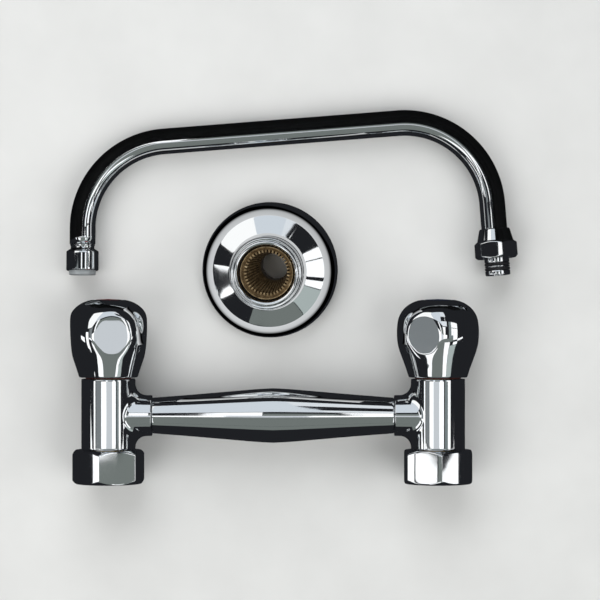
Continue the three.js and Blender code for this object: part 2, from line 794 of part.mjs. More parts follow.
function spout() {
  const { path, end } = tubePath();
  const outlet = group(
    part("aerator_housing", aeratorHousing(), chrome),
    part("aerator_washer", aeratorWasher(), rubber),
    part("aerator_insert", aeratorInsert(), innerPlastic)
  );
  outlet.position.copy(end);
  outlet.rotation.z = -OUTLET_LEAN * DEG;
  const [low, high] = SPOUT_GROOVES;
  return group(
    part("spout_tube", spoutTube(path), chrome),
    part("spout_tail", spoutTail(), brass),
    part("spout_nut", spoutNut(), chrome, SPOUT_NUT_TURN),
    part("spout_o_ring_lower", spoutORing(low), rubber),
    part("spout_o_ring_upper", spoutORing(high), rubber),
    part("spout_slip_ring", slipRing(), slipPlastic),
    outlet
  );
}

// ---------------------------------------------------------------- flange and eccentric union

// Both are turned about Y and stood up at the end.
function wallFlange() {
  const neckR = FLANGE_BEAD_R - 0.6;
  const neckBoreR = neckR - 1.8;
  const outside = [
    [FLANGE_R, 0],
    [FLANGE_R, 4],
    [41, 8.5],
    [38.8, 12.4],
    [35, 15.6],
    [FLANGE_BEAD_R + 1, 21.2],
    [neckR, 22.6],
    [neckR, FLANGE_HEIGHT - 6],
    [FLANGE_BEAD_R, FLANGE_HEIGHT - 4],
    [FLANGE_BEAD_R - 0.6, FLANGE_HEIGHT - 1.4],
    [FLANGE_BEAD_R - 2.4, FLANGE_HEIGHT],
    [FLANGE_LIP_R + 1.6, FLANGE_HEIGHT - 0.3],
    [FLANGE_LIP_R, FLANGE_HEIGHT - 2],
  ];
  const inside = [
    [FLANGE_LIP_R, FLANGE_HEIGHT - 5],
    [neckBoreR, FLANGE_HEIGHT - 6.4],
    [neckBoreR, 20.6],
    [34.4, 14],
    [37.6, 11.2],
    [39.4, 7.8],
    [FLANGE_R - FLANGE_WALL, 4],
    [FLANGE_R - FLANGE_WALL, 0],
  ];
  return ring([...outside, ...inside], SIDES);
}

// A turned solid whose axis shifts sideways with height, from 0 at high to offset at low.
function sheared(geometry, high, low, offset) {
  const position = geometry.getAttribute("position");
  for (let i = 0; i < position.count; i++) {
    const share = THREE.MathUtils.clamp((high - position.getY(i)) / (high - low), 0, 1);
    position.setX(i, position.getX(i) + offset * share);
  }
  return geometry;
}

function eccentricUnion() {
  const [step, widened] = ECCENTRIC_STEP;
  const outline = [
    [0, ECCENTRIC_LOW],
    [ECCENTRIC_SMALL_R, ECCENTRIC_LOW],
    [ECCENTRIC_SMALL_R, step],
    [ECCENTRIC_R, widened],
    [ECCENTRIC_R, ECCENTRIC_TOP - 1],
    [ECCENTRIC_R - 1, ECCENTRIC_TOP],
    [0, ECCENTRIC_TOP],
  ];
  const passage = [
    [0, ECCENTRIC_LOW - 1],
    [ECCENTRIC_BORE_R, ECCENTRIC_LOW - 1],
    [ECCENTRIC_BORE_R, step],
    [ECCENTRIC_MOUTH_R, ECCENTRIC_TOP - 2],
    [ECCENTRIC_MOUTH_R, ECCENTRIC_TOP + 1],
    [0, ECCENTRIC_TOP + 1],
  ];
  const outer = sheared(turned(outline, SIDES), widened, step, ECCENTRIC_OFFSET);
  const inner = sheared(turned(passage, SIDES), ECCENTRIC_TOP - 2, step, ECCENTRIC_OFFSET);
  return cut(outer, inner);
}

function flangeSet() {
  const stack = group(
    part("wall_flange", wallFlange(), chrome),
    part("eccentric_union", eccentricUnion(), brass, ECCENTRIC_TURN)
  );
  stack.rotation.x = 90 * DEG;
  return group(stack);
}

// ---------------------------------------------------------------- layout

function restOnSurface(item) {
  item.updateMatrixWorld(true);
  item.position.z -= new THREE.Box3().setFromObject(item, true).min.z;
}

const body = mixer();
body.position.y = MIXER_Y;

const swivelSpout = spout();
swivelSpout.position.set(...SPOUT_AT, 0);
swivelSpout.rotation.set(SPOUT_TILT[0] * DEG, SPOUT_TILT[1] * DEG, SPOUT_YAW * DEG);

const flange = flangeSet();
flange.position.set(...FLANGE_AT, 0);
const lean = new THREE.Vector3(-Math.sin(FLANGE_LEANS_TO * DEG), Math.cos(FLANGE_LEANS_TO * DEG), 0);
flange.setRotationFromAxisAngle(lean, FLANGE_TILT * DEG);

[body, swivelSpout, flange].forEach(restOnSurface);

const faucet = group(body, swivelSpout, flange);
faucet.updateMatrixWorld(true);
const middle = new THREE.Box3().setFromObject(faucet, true).getCenter(new THREE.Vector3());
faucet.position.set(-middle.x, -middle.y, 0);

export default faucet;
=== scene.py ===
# %% [markdown]
# # A wall mixer, knocked down
# A kitchen wall mixer lies in three groups on a pale surface: the mixer body with its two valves, the
# swivel spout, and a round wall flange over its eccentric union. The imported model gives every piece
# its size, place and motion. This lesson gives each visible piece a smooth mesh, and every piece a real
# finish.

# %% Load the fixed frame
import json
import math

import bmesh
import bpy
import numpy as np
from mathutils import Matrix, Vector


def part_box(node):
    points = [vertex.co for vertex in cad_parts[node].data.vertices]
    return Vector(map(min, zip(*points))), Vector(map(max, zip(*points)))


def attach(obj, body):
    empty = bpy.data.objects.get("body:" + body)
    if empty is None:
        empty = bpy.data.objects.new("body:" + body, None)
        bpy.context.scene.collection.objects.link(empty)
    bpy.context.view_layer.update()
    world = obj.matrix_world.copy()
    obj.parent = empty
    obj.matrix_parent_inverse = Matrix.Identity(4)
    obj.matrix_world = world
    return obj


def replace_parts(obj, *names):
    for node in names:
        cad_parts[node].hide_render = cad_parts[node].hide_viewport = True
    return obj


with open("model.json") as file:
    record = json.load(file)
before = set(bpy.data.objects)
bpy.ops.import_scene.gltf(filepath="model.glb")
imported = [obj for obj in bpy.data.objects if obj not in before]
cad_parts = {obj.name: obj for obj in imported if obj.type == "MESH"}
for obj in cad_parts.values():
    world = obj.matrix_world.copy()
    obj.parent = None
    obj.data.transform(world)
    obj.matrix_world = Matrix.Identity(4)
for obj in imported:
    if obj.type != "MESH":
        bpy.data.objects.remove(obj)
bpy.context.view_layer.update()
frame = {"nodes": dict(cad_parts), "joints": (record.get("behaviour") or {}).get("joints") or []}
joints = {joint["name"]: joint for joint in frame["joints"]}

# %% [markdown]
# ## Three places to build in
# Every piece of this faucet is turned on a lathe, pressed or bent, so it has an axis. Each group gets a
# local frame whose Y is that axis, and its pieces are drawn there in millimetres. The frames come from
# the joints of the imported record, so a piece lands exactly where the CAD says.

# %% Local frames
MM = 0.001


def frame_at(origin, x, y, z):
    """A 4x4 matrix from an origin in metres and three axes."""
    place = Matrix.Identity(4)
    for k, axis in enumerate((x, y, z)):
        place.col[k].xyz = Vector(axis).normalized()
    place.translation = Vector(origin)
    return place


def on_axis(joint, along):
    """The joint's point, moved along its axis by so many millimetres."""
    return Vector(joint["pos_m"]) + Vector(joint["axis"]).normalized() * along * MM


VALVE_AXIS_TO_JOINT = 48.0  # from the bridge's axis to the handle's joint
SIDES = ("left", "right")
side_frame = {
    s: frame_at(on_axis(joints[f"handle_{s}_turn"], -VALVE_AXIS_TO_JOINT), (1, 0, 0), (0, 1, 0), (0, 0, 1))
    for s in SIDES
}
middle = (side_frame["left"].translation + side_frame["right"].translation) / 2
bridge_frame = frame_at(middle, (1, 0, 0), (0, 1, 0), (0, 0, 1))

SPOUT_TURN = [math.radians(a) for a in (-2.55, -0.69, 4.4)]
turn_x, turn_y, turn_z = (Matrix.Rotation(a, 4, axis) for a, axis in zip(SPOUT_TURN, "XYZ"))
spout_frame = turn_x @ turn_y @ turn_z
spout_frame.translation = on_axis(joints["spout_swivel"], -15)

flange_axis = Vector(joints["flange_slide"]["axis"]).normalized()
low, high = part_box("wall_flange")
print(
    "column centres", round((side_frame["right"].translation - side_frame["left"].translation).x / MM, 1),
    "mm"
)

# %% [markdown]
# The flange leans a little on the end of the union, so its frame is turned from straight up to the
# leaning axis. The lean is about a horizontal line, which keeps the round pieces' own turn as it was.

# %% The leaning frame of the flange and union
FLANGE_RIM = 42.2
FLANGE_HEIGHT = 37.6
flange_lean = flange_axis.angle(Vector((0, 0, 1)))
centre = (low + high) / 2 - flange_axis * 2 * MM
flange_origin = Vector((centre.x, centre.y, low.z + FLANGE_RIM * math.sin(flange_lean) * MM))
flange_frame = Vector((0, 0, 1)).rotation_difference(flange_axis).to_matrix().to_4x4()
flange_frame = flange_frame @ Matrix.Rotation(math.radians(90), 4, "X")
flange_frame.translation = flange_origin
print(
    "flange leans", round(math.degrees(flange_lean), 2), "degrees; origin",
    [round(v / MM, 2) for v in flange_origin]
)

# %% [markdown]
# ## Colours and nodes
# A colour is written as the hex value that a screen shows, and one function turns it to the linear
# numbers that Cycles works in. One small function adds a node with its settings and its links.

# %% Colour and node helpers
def linear(hex_colour, alpha=1.0):
    """sRGB hex to linear RGBA."""
    parts = [int(hex_colour[i : i + 2], 16) / 255 for i in (1, 3, 5)]
    return tuple(p / 12.92 if p <= 0.04045 else ((p + 0.055) / 1.055) ** 2.4 for p in parts) + (alpha,)


def add(tree, kind, settings=None, links=None):
    """A node of that kind; settings are attributes or input values, links go from input to a socket."""
    node = tree.nodes.new(kind)
    for key, value in (settings or {}).items():
        if isinstance(key, int) or key in node.inputs:
            node.inputs[key].default_value = value
        else:
            setattr(node, key, value)
    for key, socket in (links or {}).items():
        tree.links.new(socket, node.inputs[key])
    return node


def ramp(tree, factor, stops):
    """A colour ramp, with stops of (position, hex colour)."""
    node = add(tree, "ShaderNodeValToRGB", links={"Fac": factor})
    elements = node.color_ramp.elements
    while len(elements) < len(stops):
        elements.new(0.5)
    for element, (position, colour) in zip(elements, stops):
        element.position = position
        element.color = linear(colour)
    return node.outputs["Color"]


def material(name, **shader):
    """A node material: returns the material, its tree and its shader node."""
    made = bpy.data.materials.new(name)
    made.use_nodes = True
    tree = made.node_tree
    surface = tree.nodes["Principled BSDF"]
    for key, value in shader.items():
        surface.inputs[key.replace("_", " ")].default_value = value
    return made, tree, surface


def grain(tree, size, detail=3.0, stretch=(1, 1, 1)):
    """Noise with features of about size millimetres, on Object coordinates."""
    place = add(tree, "ShaderNodeTexCoord").outputs["Object"]
    mapped = add(tree, "ShaderNodeMapping", {"Scale": stretch}, {"Vector": place})
    settings = {"Scale": 1 / (size * MM), "Detail": detail, "Roughness": 0.55}
    return add(tree, "ShaderNodeTexNoise", settings, {"Vector": mapped.outputs["Vector"]}).outputs["Fac"]


def relief(tree, surface, height, depth):
    """Bump of so many millimetres on a shader."""
    bump = add(tree, "ShaderNodeBump", {"Strength": 1.0, "Distance": depth * MM}, {"Height": height})
    tree.links.new(bump.outputs["Normal"], surface.inputs["Normal"])


def spread(tree, factor, low, high, to_low, to_high):
    """Maps a value from one range to another, clamped."""
    settings = {"From Min": low, "From Max": high, "To Min": to_low, "To Max": to_high}
    return add(tree, "ShaderNodeMapRange", settings, {"Value": factor}).outputs["Result"]


print("white is", linear("#ffffff")[:3])

# %% [markdown]
# ## Bright chrome plate
# Bright decorative chrome is a film under a micrometre thick over polished nickel and brass. It
# mirrors its surroundings with a faint blue-grey tint. The brass under it was polished by hand on a
# wheel, so the surface rolls by a few micrometres over a centimetre, which bends long reflections a
# little. Handling leaves a haze that is drawn as a slow change of roughness.

# %% Chrome
chrome, tree, shader = material("bright_chrome_plate", Metallic=1.0, Base_Color=linear("#e9ecee"))
tree.links.new(spread(tree, grain(tree, 22), 0.35, 0.75, 0.028, 0.065), shader.inputs["Roughness"])
relief(tree, shader, grain(tree, 16, detail=1.0), 0.035)
print("made", chrome.name)

# %% [markdown]
# ## Unplated brass
# Where plating doesn't reach, the casting keeps its own skin: dull brown brass, a little pitted, and
# brighter where a tool has cut it. Turned brass inside the valves is cleaner and yellower.

# %% Cast and turned brass
cast_brass, tree, shader = material("cast_brass_dulled", Metallic=0.8, Roughness=0.42)
tarnish = grain(tree, 3.2, detail=5.0)
tree.links.new(
    ramp(tree, tarnish, [(0.3, "#6b5741"), (0.48, "#96805f"), (0.62, "#b39b76"), (0.75, "#d8c8a6")]),
    shader.inputs["Base Color"]
)
tree.links.new(spread(tree, tarnish, 0.3, 0.7, 0.46, 0.2), shader.inputs["Roughness"])
relief(tree, shader, grain(tree, 0.7, detail=4.0), 0.05)

turned_brass, tree, shader = material("turned_brass", Metallic=1.0)
tree.links.new(
    ramp(tree, grain(tree, 6.0), [(0.3, "#a98a4e"), (0.7, "#cdb074")]), shader.inputs["Base Color"]
)
tree.links.new(
    spread(tree, grain(tree, 1.5, stretch=(1, 12, 1)), 0.3, 0.7, 0.2, 0.4), shader.inputs["Roughness"]
)
relief(tree, shader, grain(tree, 1.2, stretch=(1, 14, 1)), 0.01)
print("made", cast_brass.name, "and", turned_brass.name)

# %% [markdown]
# ## Seals, washers and small parts
# EPDM rings are matt black with a dusty bloom. Red fibre washers are pressed from layered paper and turn
# dark where they are wet. The slip ring is white acetal, the aerator's insert grey acetal, and the index
# caps are polished ABS.

# %% Rubber, fibre, plastic and steel
rubber, tree, shader = material("moulded_epdm", Specular_IOR_Level=0.35)
tree.links.new(
    ramp(tree, grain(tree, 2.0), [(0.35, "#17171a"), (0.7, "#2b2b2d")]), shader.inputs["Base Color"]
)
tree.links.new(spread(tree, grain(tree, 1.2), 0.3, 0.7, 0.55, 0.75), shader.inputs["Roughness"])
relief(tree, shader, grain(tree, 0.4), 0.01)

fibre, tree, shader = material("pressed_red_fibre", Roughness=0.8)
tree.links.new(
    ramp(tree, grain(tree, 0.8, detail=6.0), [(0.3, "#431a14"), (0.7, "#6e2f25")]),
    shader.inputs["Base Color"]
)
relief(tree, shader, grain(tree, 0.35), 0.03)

steel, tree, shader = material("turned_stainless", Metallic=1.0, Base_Color=linear("#b9bbbd"))
tree.links.new(
    spread(tree, grain(tree, 0.8, stretch=(1, 10, 1)), 0.3, 0.7, 0.22, 0.38), shader.inputs["Roughness"]
)


def plastic(name, dark, light, rough):
    """A moulded plastic with a slow change of shade and a faint moulded texture."""
    made, tree, shader = material(name, IOR=1.49)
    tree.links.new(ramp(tree, grain(tree, 9.0), [(0.35, dark), (0.7, light)]), shader.inputs["Base Color"])
    tree.links.new(
        spread(tree, grain(tree, 3.0), 0.3, 0.7, rough, rough + 0.08), shader.inputs["Roughness"]
    )
    relief(tree, shader, grain(tree, 0.5), 0.004)
    return made


white_acetal = plastic("moulded_white_acetal", "#dedbd0", "#ece9e0", 0.38)
grey_acetal = plastic("moulded_grey_acetal", "#8d9294", "#a9adae", 0.34)
red_abs = plastic("polished_red_abs", "#7c1715", "#8a1d1a", 0.1)
blue_abs = plastic("polished_blue_abs", "#173463", "#1d4078", 0.1)
print(
    "made", ", ".join(m.name for m in (rubber, fibre, steel, white_acetal, grey_acetal, red_abs, blue_abs))
)

# %% [markdown]
# ## The pieces that stay as packed
# Most of the valve is out of sight. Its CAD solids have the right shape, so they stay and only take a
# finish. Everything that can be seen is drawn again below with round, smooth surfaces.

# %% Finishes on the CAD nodes
FINISH_OF_SLOT = {
    "chrome_plate": chrome,
    "bare_brass": turned_brass,
    "epdm_rubber": rubber,
    "red_fibre": fibre,
    "stainless_steel": steel,
    "slip_plastic": white_acetal,
    "acetal": grey_acetal,
    "hot_index": red_abs,
    "cold_index": blue_abs,
}
# The first word that is part of a node's name gives its slot.
WORDS_OF_SLOT = [
    ("epdm_rubber", ("seal", "seat_washer", "o_ring", "aerator_washer")),
    ("red_fibre", ("union_washer", "headwork_washer")),
    ("stainless_steel", ("screw",)),
    ("slip_plastic", ("slip_ring",)),
    ("acetal", ("insert",)),
    ("hot_index", ("cap_left",)),
    ("cold_index", ("cap_right",)),
    (
        "bare_brass",
        ("union_tail", "piston", "headwork_body", "spindle", "gland", "eccentric", "spout_tail"),
    ),
]
for name, node in frame["nodes"].items():
    fitting = (slot for slot, words in WORDS_OF_SLOT if any(word in name for word in words))
    slot = next(fitting, "chrome_plate")
    node.data.materials.clear()
    node.data.materials.append(FINISH_OF_SLOT[slot])
print("finishes set on", len(frame["nodes"]), "nodes")

# %% [markdown]
# ## Turned shapes
# A lathe sweeps one outline about an axis. Real corners are never sharp: plating piles up on them and
# polishing rounds them, so each corner of an outline gets a small arc. A shape function can then press
# flats into the round, which is how hexagons and finger facets are made here.

# %% Outlines
def arc_corner(before, corner, after, radius, steps):
    """Points of an arc that rounds a corner."""
    a, b, c = (np.array(p, float) for p in (before, corner, after))
    u, v = a - b, c - b
    lu, lv = np.linalg.norm(u), np.linalg.norm(v)
    u, v = u / lu, v / lv
    half = math.acos(np.clip(u @ v, -1, 1)) / 2
    if half > 1.55 or radius <= 0:
        return [tuple(b)]
    reach = min(radius / math.tan(half), 0.45 * lu, 0.45 * lv)
    real = reach * math.tan(half)
    centre = b + (u + v) / np.linalg.norm(u + v) * real / math.sin(half)
    start, end = b + u * reach - centre, b + v * reach - centre
    sweep = math.acos(np.clip(start @ end / real**2, -1, 1))
    points = []
    for k in range(steps + 1):
        t = k / steps
        w = (math.sin((1 - t) * sweep) * start + math.sin(t * sweep) * end) / math.sin(sweep)
        points.append(tuple(centre + w))
    return points


def rounded(points, radius=0.4, steps=4, closed=True):
    """An outline of [radius, height, own corner radius if any] with its corners rounded."""
    out = []
    count = len(points)
    for k, point in enumerate(points):
        if not closed and k in (0, count - 1):
            out.append((point[0], point[1]))
            continue
        r = point[2] if len(point) > 2 else radius
        out += arc_corner(points[k - 1][:2], point[:2], points[(k + 1) % count][:2], r, steps)
    return out


def dense(points, longest, closed=True):
    """Splits long runs so that no step is longer than longest."""
    out = []
    ends = points + [points[0]] if closed else points
    for (r0, h0), (r1, h1) in zip(ends, ends[1:]):
        n = max(1, math.ceil(math.hypot(r1 - r0, h1 - h0) / longest))
        out += [(r0 + (r1 - r0) * k / n, h0 + (h1 - h0) * k / n) for k in range(n)]
    return out if closed else out + [points[-1]]


def flowing(points, count):
    """A smooth curve through the points, as count points."""
    p = np.array(points, float)
    p = np.vstack([2 * p[0] - p[1], p, 2 * p[-1] - p[-2]])
    out = []
    spans = len(p) - 3
    for k in range(count):
        s = min(k * spans / (count - 1), spans - 1e-9)
        i, t = int(s), s - int(s)
        a, b, c, d = p[i : i + 4]
        square, cube = 2 * a - 5 * b + 4 * c - d, 3 * b - a - 3 * c + d
        out.append(tuple(0.5 * (2 * b + (c - a) * t + square * t * t + cube * t**3)))
    return out


print("a square corner becomes", len(arc_corner((1, 0), (0, 0), (0, 1), 0.2, 4)), "points")


# %% Meshes
def mesh_piece(name, points, faces, place, finish):
    """A mesh object from points in millimetres in a local frame, with its faces turned outwards."""
    co = np.array(points, float)
    tris = np.array([(f[0], f[k], f[k + 1]) for f in faces for k in range(1, len(f) - 1)])
    a, b, c = (co[tris[:, k]] for k in range(3))
    if np.einsum("ij,ij->i", a, np.cross(b, c)).sum() < 0:
        faces = [tuple(reversed(f)) for f in faces]
    data = bpy.data.meshes.new(name)
    data.from_pydata([tuple(p * MM) for p in co], [], faces)
    data.transform(place)
    data.polygons.foreach_set("use_smooth", [True] * len(data.polygons))
    data.materials.append(finish)
    data.update()
    piece = bpy.data.objects.new(name, data)
    bpy.context.scene.collection.objects.link(piece)
    return piece


def grid_faces(rows, columns, first=0, wrap_rows=False, wrap_columns=True):
    """Quads of a grid of rows x columns points."""
    faces = []
    for i in range(rows if wrap_rows else rows - 1):
        for j in range(columns if wrap_columns else columns - 1):
            i2, j2 = (i + 1) % rows, (j + 1) % columns
            faces.append(
                (
                    first + i * columns + j, first + i * columns + j2, first + i2 * columns + j2,
                    first + i2 * columns + j
                )
            )
    return faces


def spun(name, outline, place, finish, body, sides=144, shape=None, angles=None):
    """A closed outline of (radius, height) turned about local Y. Angle 0 is local Z, 90 degrees local X."""
    turns = np.linspace(0, 2 * math.pi, sides, endpoint=False) if angles is None else np.array(angles)
    r = np.array([p[0] for p in outline])[:, None] + 0 * turns[None, :]
    h = np.array([p[1] for p in outline])[:, None] + 0 * turns[None, :]
    if shape:
        r = shape(r, h, turns[None, :] + 0 * r)
    points = np.stack([r * np.sin(turns), h, r * np.cos(turns)], -1).reshape(-1, 3)
    faces = grid_faces(len(outline), len(turns), wrap_rows=True)
    piece = mesh_piece(name, points, faces, place, finish)
    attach(piece, body)
    return piece


def soft_min(a, b, k):
    """The smaller of two distances, with the crease between them rounded over k millimetres."""
    h = np.maximum(k - np.abs(a - b), 0) / k
    return np.minimum(a, b) - h * h * k / 4


print("a strip of 2 x 3 points has", len(grid_faces(2, 3, wrap_columns=False)), "faces")

# %% [markdown]
# ## Handles
# Each handle is a die-cast barrel that swells above its skirt and closes in a low dome. Four finger
# facets are pressed into it, flat across and curved along its length, so their edges draw a kite. The
# barrel is turned first, and the facets are then cut into it with a rounded crease.

# %% Handle outline and facets
HANDLE_BASE = 23.6
HANDLE_TURN = {"left": 9.3, "right": -24.7}
CAP_R = 9.0
BARREL = [
    (18, 0), (19.6, 5), (21.4, 10), (23.6, 16), (25, 21), (25.5, 26.5), (25.2, 32), (24.1, 37),
    (21.6, 41.5), (17.6, 45), (12.5, 47.2), (6, 48.2)
]
FACET = [
    (18.6, 0), (19.9, 5), (21.3, 9.5), (22.1, 13), (22.4, 17.5), (22.75, 25), (23.05, 31), (23.25, 37),
    (22.9, 41), (21.3, 45), (17, 50)
]
barrel_curve = [p for p in flowing(BARREL, 170) if p[0] > CAP_R + 0.9]
facet_curve = flowing(FACET, 200)
facet_r, facet_h = (np.array([p[k] for p in facet_curve]) for k in (0, 1))


def finger_facets(turn):
    """Cuts four facets, the first one facing turn degrees."""

    def shape(r, h, angle):
        off = (angle - math.radians(turn) + math.pi / 4) % (math.pi / 2) - math.pi / 4
        facet = np.interp(h - HANDLE_BASE, facet_h, facet_r) / np.cos(off)
        return np.where(r > CAP_R + 0.5, soft_min(r, facet, 0.9), r)

    return shape


lip_h = barrel_curve[-1][1] + 0.25
handle_inside = rounded(
    [
        (CAP_R + 0.3, lip_h, 0.5), (CAP_R + 0.3, 42.4), (2.5, 42.4), (2.5, 36.4), (4.5, 36.4), (4.5, 22.4),
        (10.2, 22.4), (10.2, 10), (15.2, 10), (15.2, 0, 0.3), (17.9, 0, 0.6)
    ],
    0.2,
    closed=False,
)
handle_outline = [
    (r, h + HANDLE_BASE)
    for r, h in barrel_curve[2:] + dense(handle_inside[1:-1], 2.5, closed=False) + [
        (17.4, 0.0), (17.75, 0.06), (18.0, 0.3)
    ]
]
for s in SIDES:
    handle = spun(
        f"handle_{s}_shell", handle_outline, side_frame[s], chrome, f"handle_{s}",
        sides=320, shape=finger_facets(HANDLE_TURN[s])
    )
    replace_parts(handle, f"handle_{s}")
    print(handle.name, len(handle.data.polygons), "faces")

# %% [markdown]
# The index cap snaps into the recess at the top of the handle. It is a shallow dome with a polished
# rim, red for hot and blue for cold.

# %% Index caps
cap_outline = rounded(
    [(0.01, 68.9), (8.6, 68.9), (9.0, 69.4), (9.0, 70.8, 0.5), (7.6, 71.5, 2.0), (0.01, 71.8)], 0.15
)
for s, finish in (("left", red_abs), ("right", blue_abs)):
    cap = spun(
        f"index_cap_{s}_dome", cap_outline, side_frame[s], finish, f"handle_{s}",
        sides=96
    )
    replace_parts(cap, f"index_cap_{s}")

# %% [markdown]
# ## Hexagon nuts
# A forged nut is turned at both ends before it is plated, so the flats meet the turned cone in the
# curved lines that every nut shows. The same idea makes it here: the turned blank is pressed flat on
# six sides, and extra columns of faces stand where the corners will be.

# %% Hexagons
def hexagon(flats, turn, low=None, high=None, crease=0.35, bulge=0.6):
    """Presses six flats, with one facing turn degrees, between two heights. Polishing leaves each flat
    fuller in its middle by the bulge."""

    def shape(r, h, angle):
        off = (angle - math.radians(turn) + math.pi / 6) % (math.pi / 3) - math.pi / 6
        flat = (flats / 2 - bulge * (np.tan(off) / math.tan(math.pi / 6)) ** 2) / np.cos(off)
        pressed = soft_min(r, flat, crease)
        inside = r < flats / 2 - bulge - 0.6
        if low is not None:
            inside |= (h < low) | (h > high)
        return np.where(inside, r, pressed)

    return shape


def hexagon_angles(turn, per_side=22):
    """Angles that crowd together at the six corners."""
    close = [-2.2, -1.2, -0.6, -0.2, 0.2, 0.6, 1.2, 2.2]
    angles = []
    for k in range(6):
        corner = turn + 60 * k
        angles += [corner + c for c in close]
        angles += list(np.linspace(corner + 2.2, corner + 57.8, per_side)[1:-1])
    return np.radians(sorted(a % 360 for a in angles))


print(len(hexagon_angles(0)), "columns round a hexagon")

# %% Union nuts
UNION_AF = 41.0
UNION_TURN = {"left": -10, "right": 3}
UNION_TOP, UNION_LOW, UNION_BORE_R = -21.1, -41.9, 15.4
corner_r = UNION_AF / 2 / math.cos(math.pi / 6)
nut_outline = rounded(
    [
        (UNION_BORE_R, UNION_LOW + 0.5, 0.1), (UNION_BORE_R + 0.6, UNION_LOW, 0.2),
        (UNION_AF / 2 - 0.3, UNION_LOW, 0.5), (corner_r + 0.6, UNION_LOW + 3.4, 0.2),
        (corner_r + 0.6, UNION_TOP - 3.4, 0.2), (UNION_AF / 2 - 0.3, UNION_TOP, 0.5),
        (10.9, UNION_TOP, 0.3), (10.9, UNION_TOP - 4, 0.2), (UNION_BORE_R, UNION_TOP - 4, 0.4),
    ],
    0.2,
)
for s in SIDES:
    # The named turn is a corner's, and a flat faces half a side further round.
    nut = spun(
        f"union_nut_{s}_plated", dense(nut_outline, 0.55), side_frame[s], chrome, f"union_nut_{s}",
        shape=hexagon(UNION_AF, UNION_TURN[s] + 30), angles=hexagon_angles(UNION_TURN[s])
    )
    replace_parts(nut, f"union_nut_{s}")
    print(nut.name, len(nut.data.polygons), "faces")

# %% [markdown]
# ## Columns and bridge
# Column and boss are one casting, ground smooth where they meet. A ball rolled along the corner leaves
# exactly such a fillet, so it is computed that way: for each direction round the branch, the ball's
# centre is known, and an arc joins the branch to the main cylinder. The rest of the cylinder is laid
# out as a sheet with a hole for that arc. The same function makes the bridge and its outlet.

# %% The arc that a rolling ball leaves
def sheet_edge(low, high, per_side):
    """The edge of the front half of a cylinder, once round, as (turn from +X, height)."""
    half_turn = math.pi / 2
    levels = np.linspace(low, high, per_side + 1)
    across = np.linspace(-half_turn, half_turn, per_side + 1)
    edge = [(half_turn, v) for v in levels[:-1]] + [(-u, high) for u in across[:-1]]
    return edge + [(-half_turn, v) for v in levels[::-1][:-1]] + [(u, low) for u in across[:-1]]


def fillet_arc(alpha, base, branch_r, fillet, steps):
    """The ball's arc from the main cylinder to the branch, alpha round the branch from local Z."""
    height, depth = (branch_r + fillet) * math.sin(alpha), (branch_r + fillet) * math.cos(alpha)
    out = math.sqrt((base + fillet) ** 2 - depth**2)
    to_main = np.array([-out, 0, -depth]) / (base + fillet)
    to_branch = np.array([0, -math.sin(alpha), -math.cos(alpha)])
    sweep = math.acos(np.clip(to_main @ to_branch, -1, 1))
    arc = []
    for k in range(steps + 1):
        t = k / steps
        turned = (math.sin((1 - t) * sweep) * to_main + math.sin(t * sweep) * to_branch) / math.sin(sweep)
        arc.append(np.array([out, height, depth]) + fillet * turned)
    return arc


# %% [markdown]
# The front half of the main cylinder is a sheet. Its rings start at the sheet's square edge and slide to
# the start of the fillet, then over the fillet and along the branch. The back half is a plain grid, and
# the two ends and the bore are one turned outline. Seams are joined at the end.

# %% A cylinder with a filleted branch
SHEET_RINGS = 14
FILLET_STEPS = 10


def front_rings(radius, low, high, branch_r, fillet, branch, per_side):
    """Rings of points from the edge of the front sheet to the end of the branch."""
    base = radius((low + high) / 2)
    edge = sheet_edge(low, high, per_side)
    alphas = [math.atan2(v - (low + high) / 2, u * base) for u, v in edge]
    starts = []
    for alpha in alphas:
        depth = (branch_r + fillet) * math.cos(alpha)
        starts.append((math.asin(depth / (base + fillet)), (branch_r + fillet) * math.sin(alpha)))

    def on_main(turn, height):
        return (radius(height) * math.cos(turn), height, radius(height) * math.sin(turn))

    rings = []
    for blend in np.linspace(1, 0, SHEET_RINGS + 1):
        rings.append(
            [on_main(t + (u - t) * blend, y + (v - y) * blend) for (u, v), (t, y) in zip(edge, starts)]
        )
    arcs = [fillet_arc(alpha, base, branch_r, fillet, FILLET_STEPS) for alpha in alphas]
    rings += [[tuple(arc[k]) for arc in arcs] for k in range(1, FILLET_STEPS + 1)]
    landed = [point[0] for point in rings[-1]]
    for x, r in branch:
        rings.append(
            [(max(x, x0 + 0.01), r * math.sin(a), r * math.cos(a)) for a, x0 in zip(alphas, landed)]
        )
    return rings


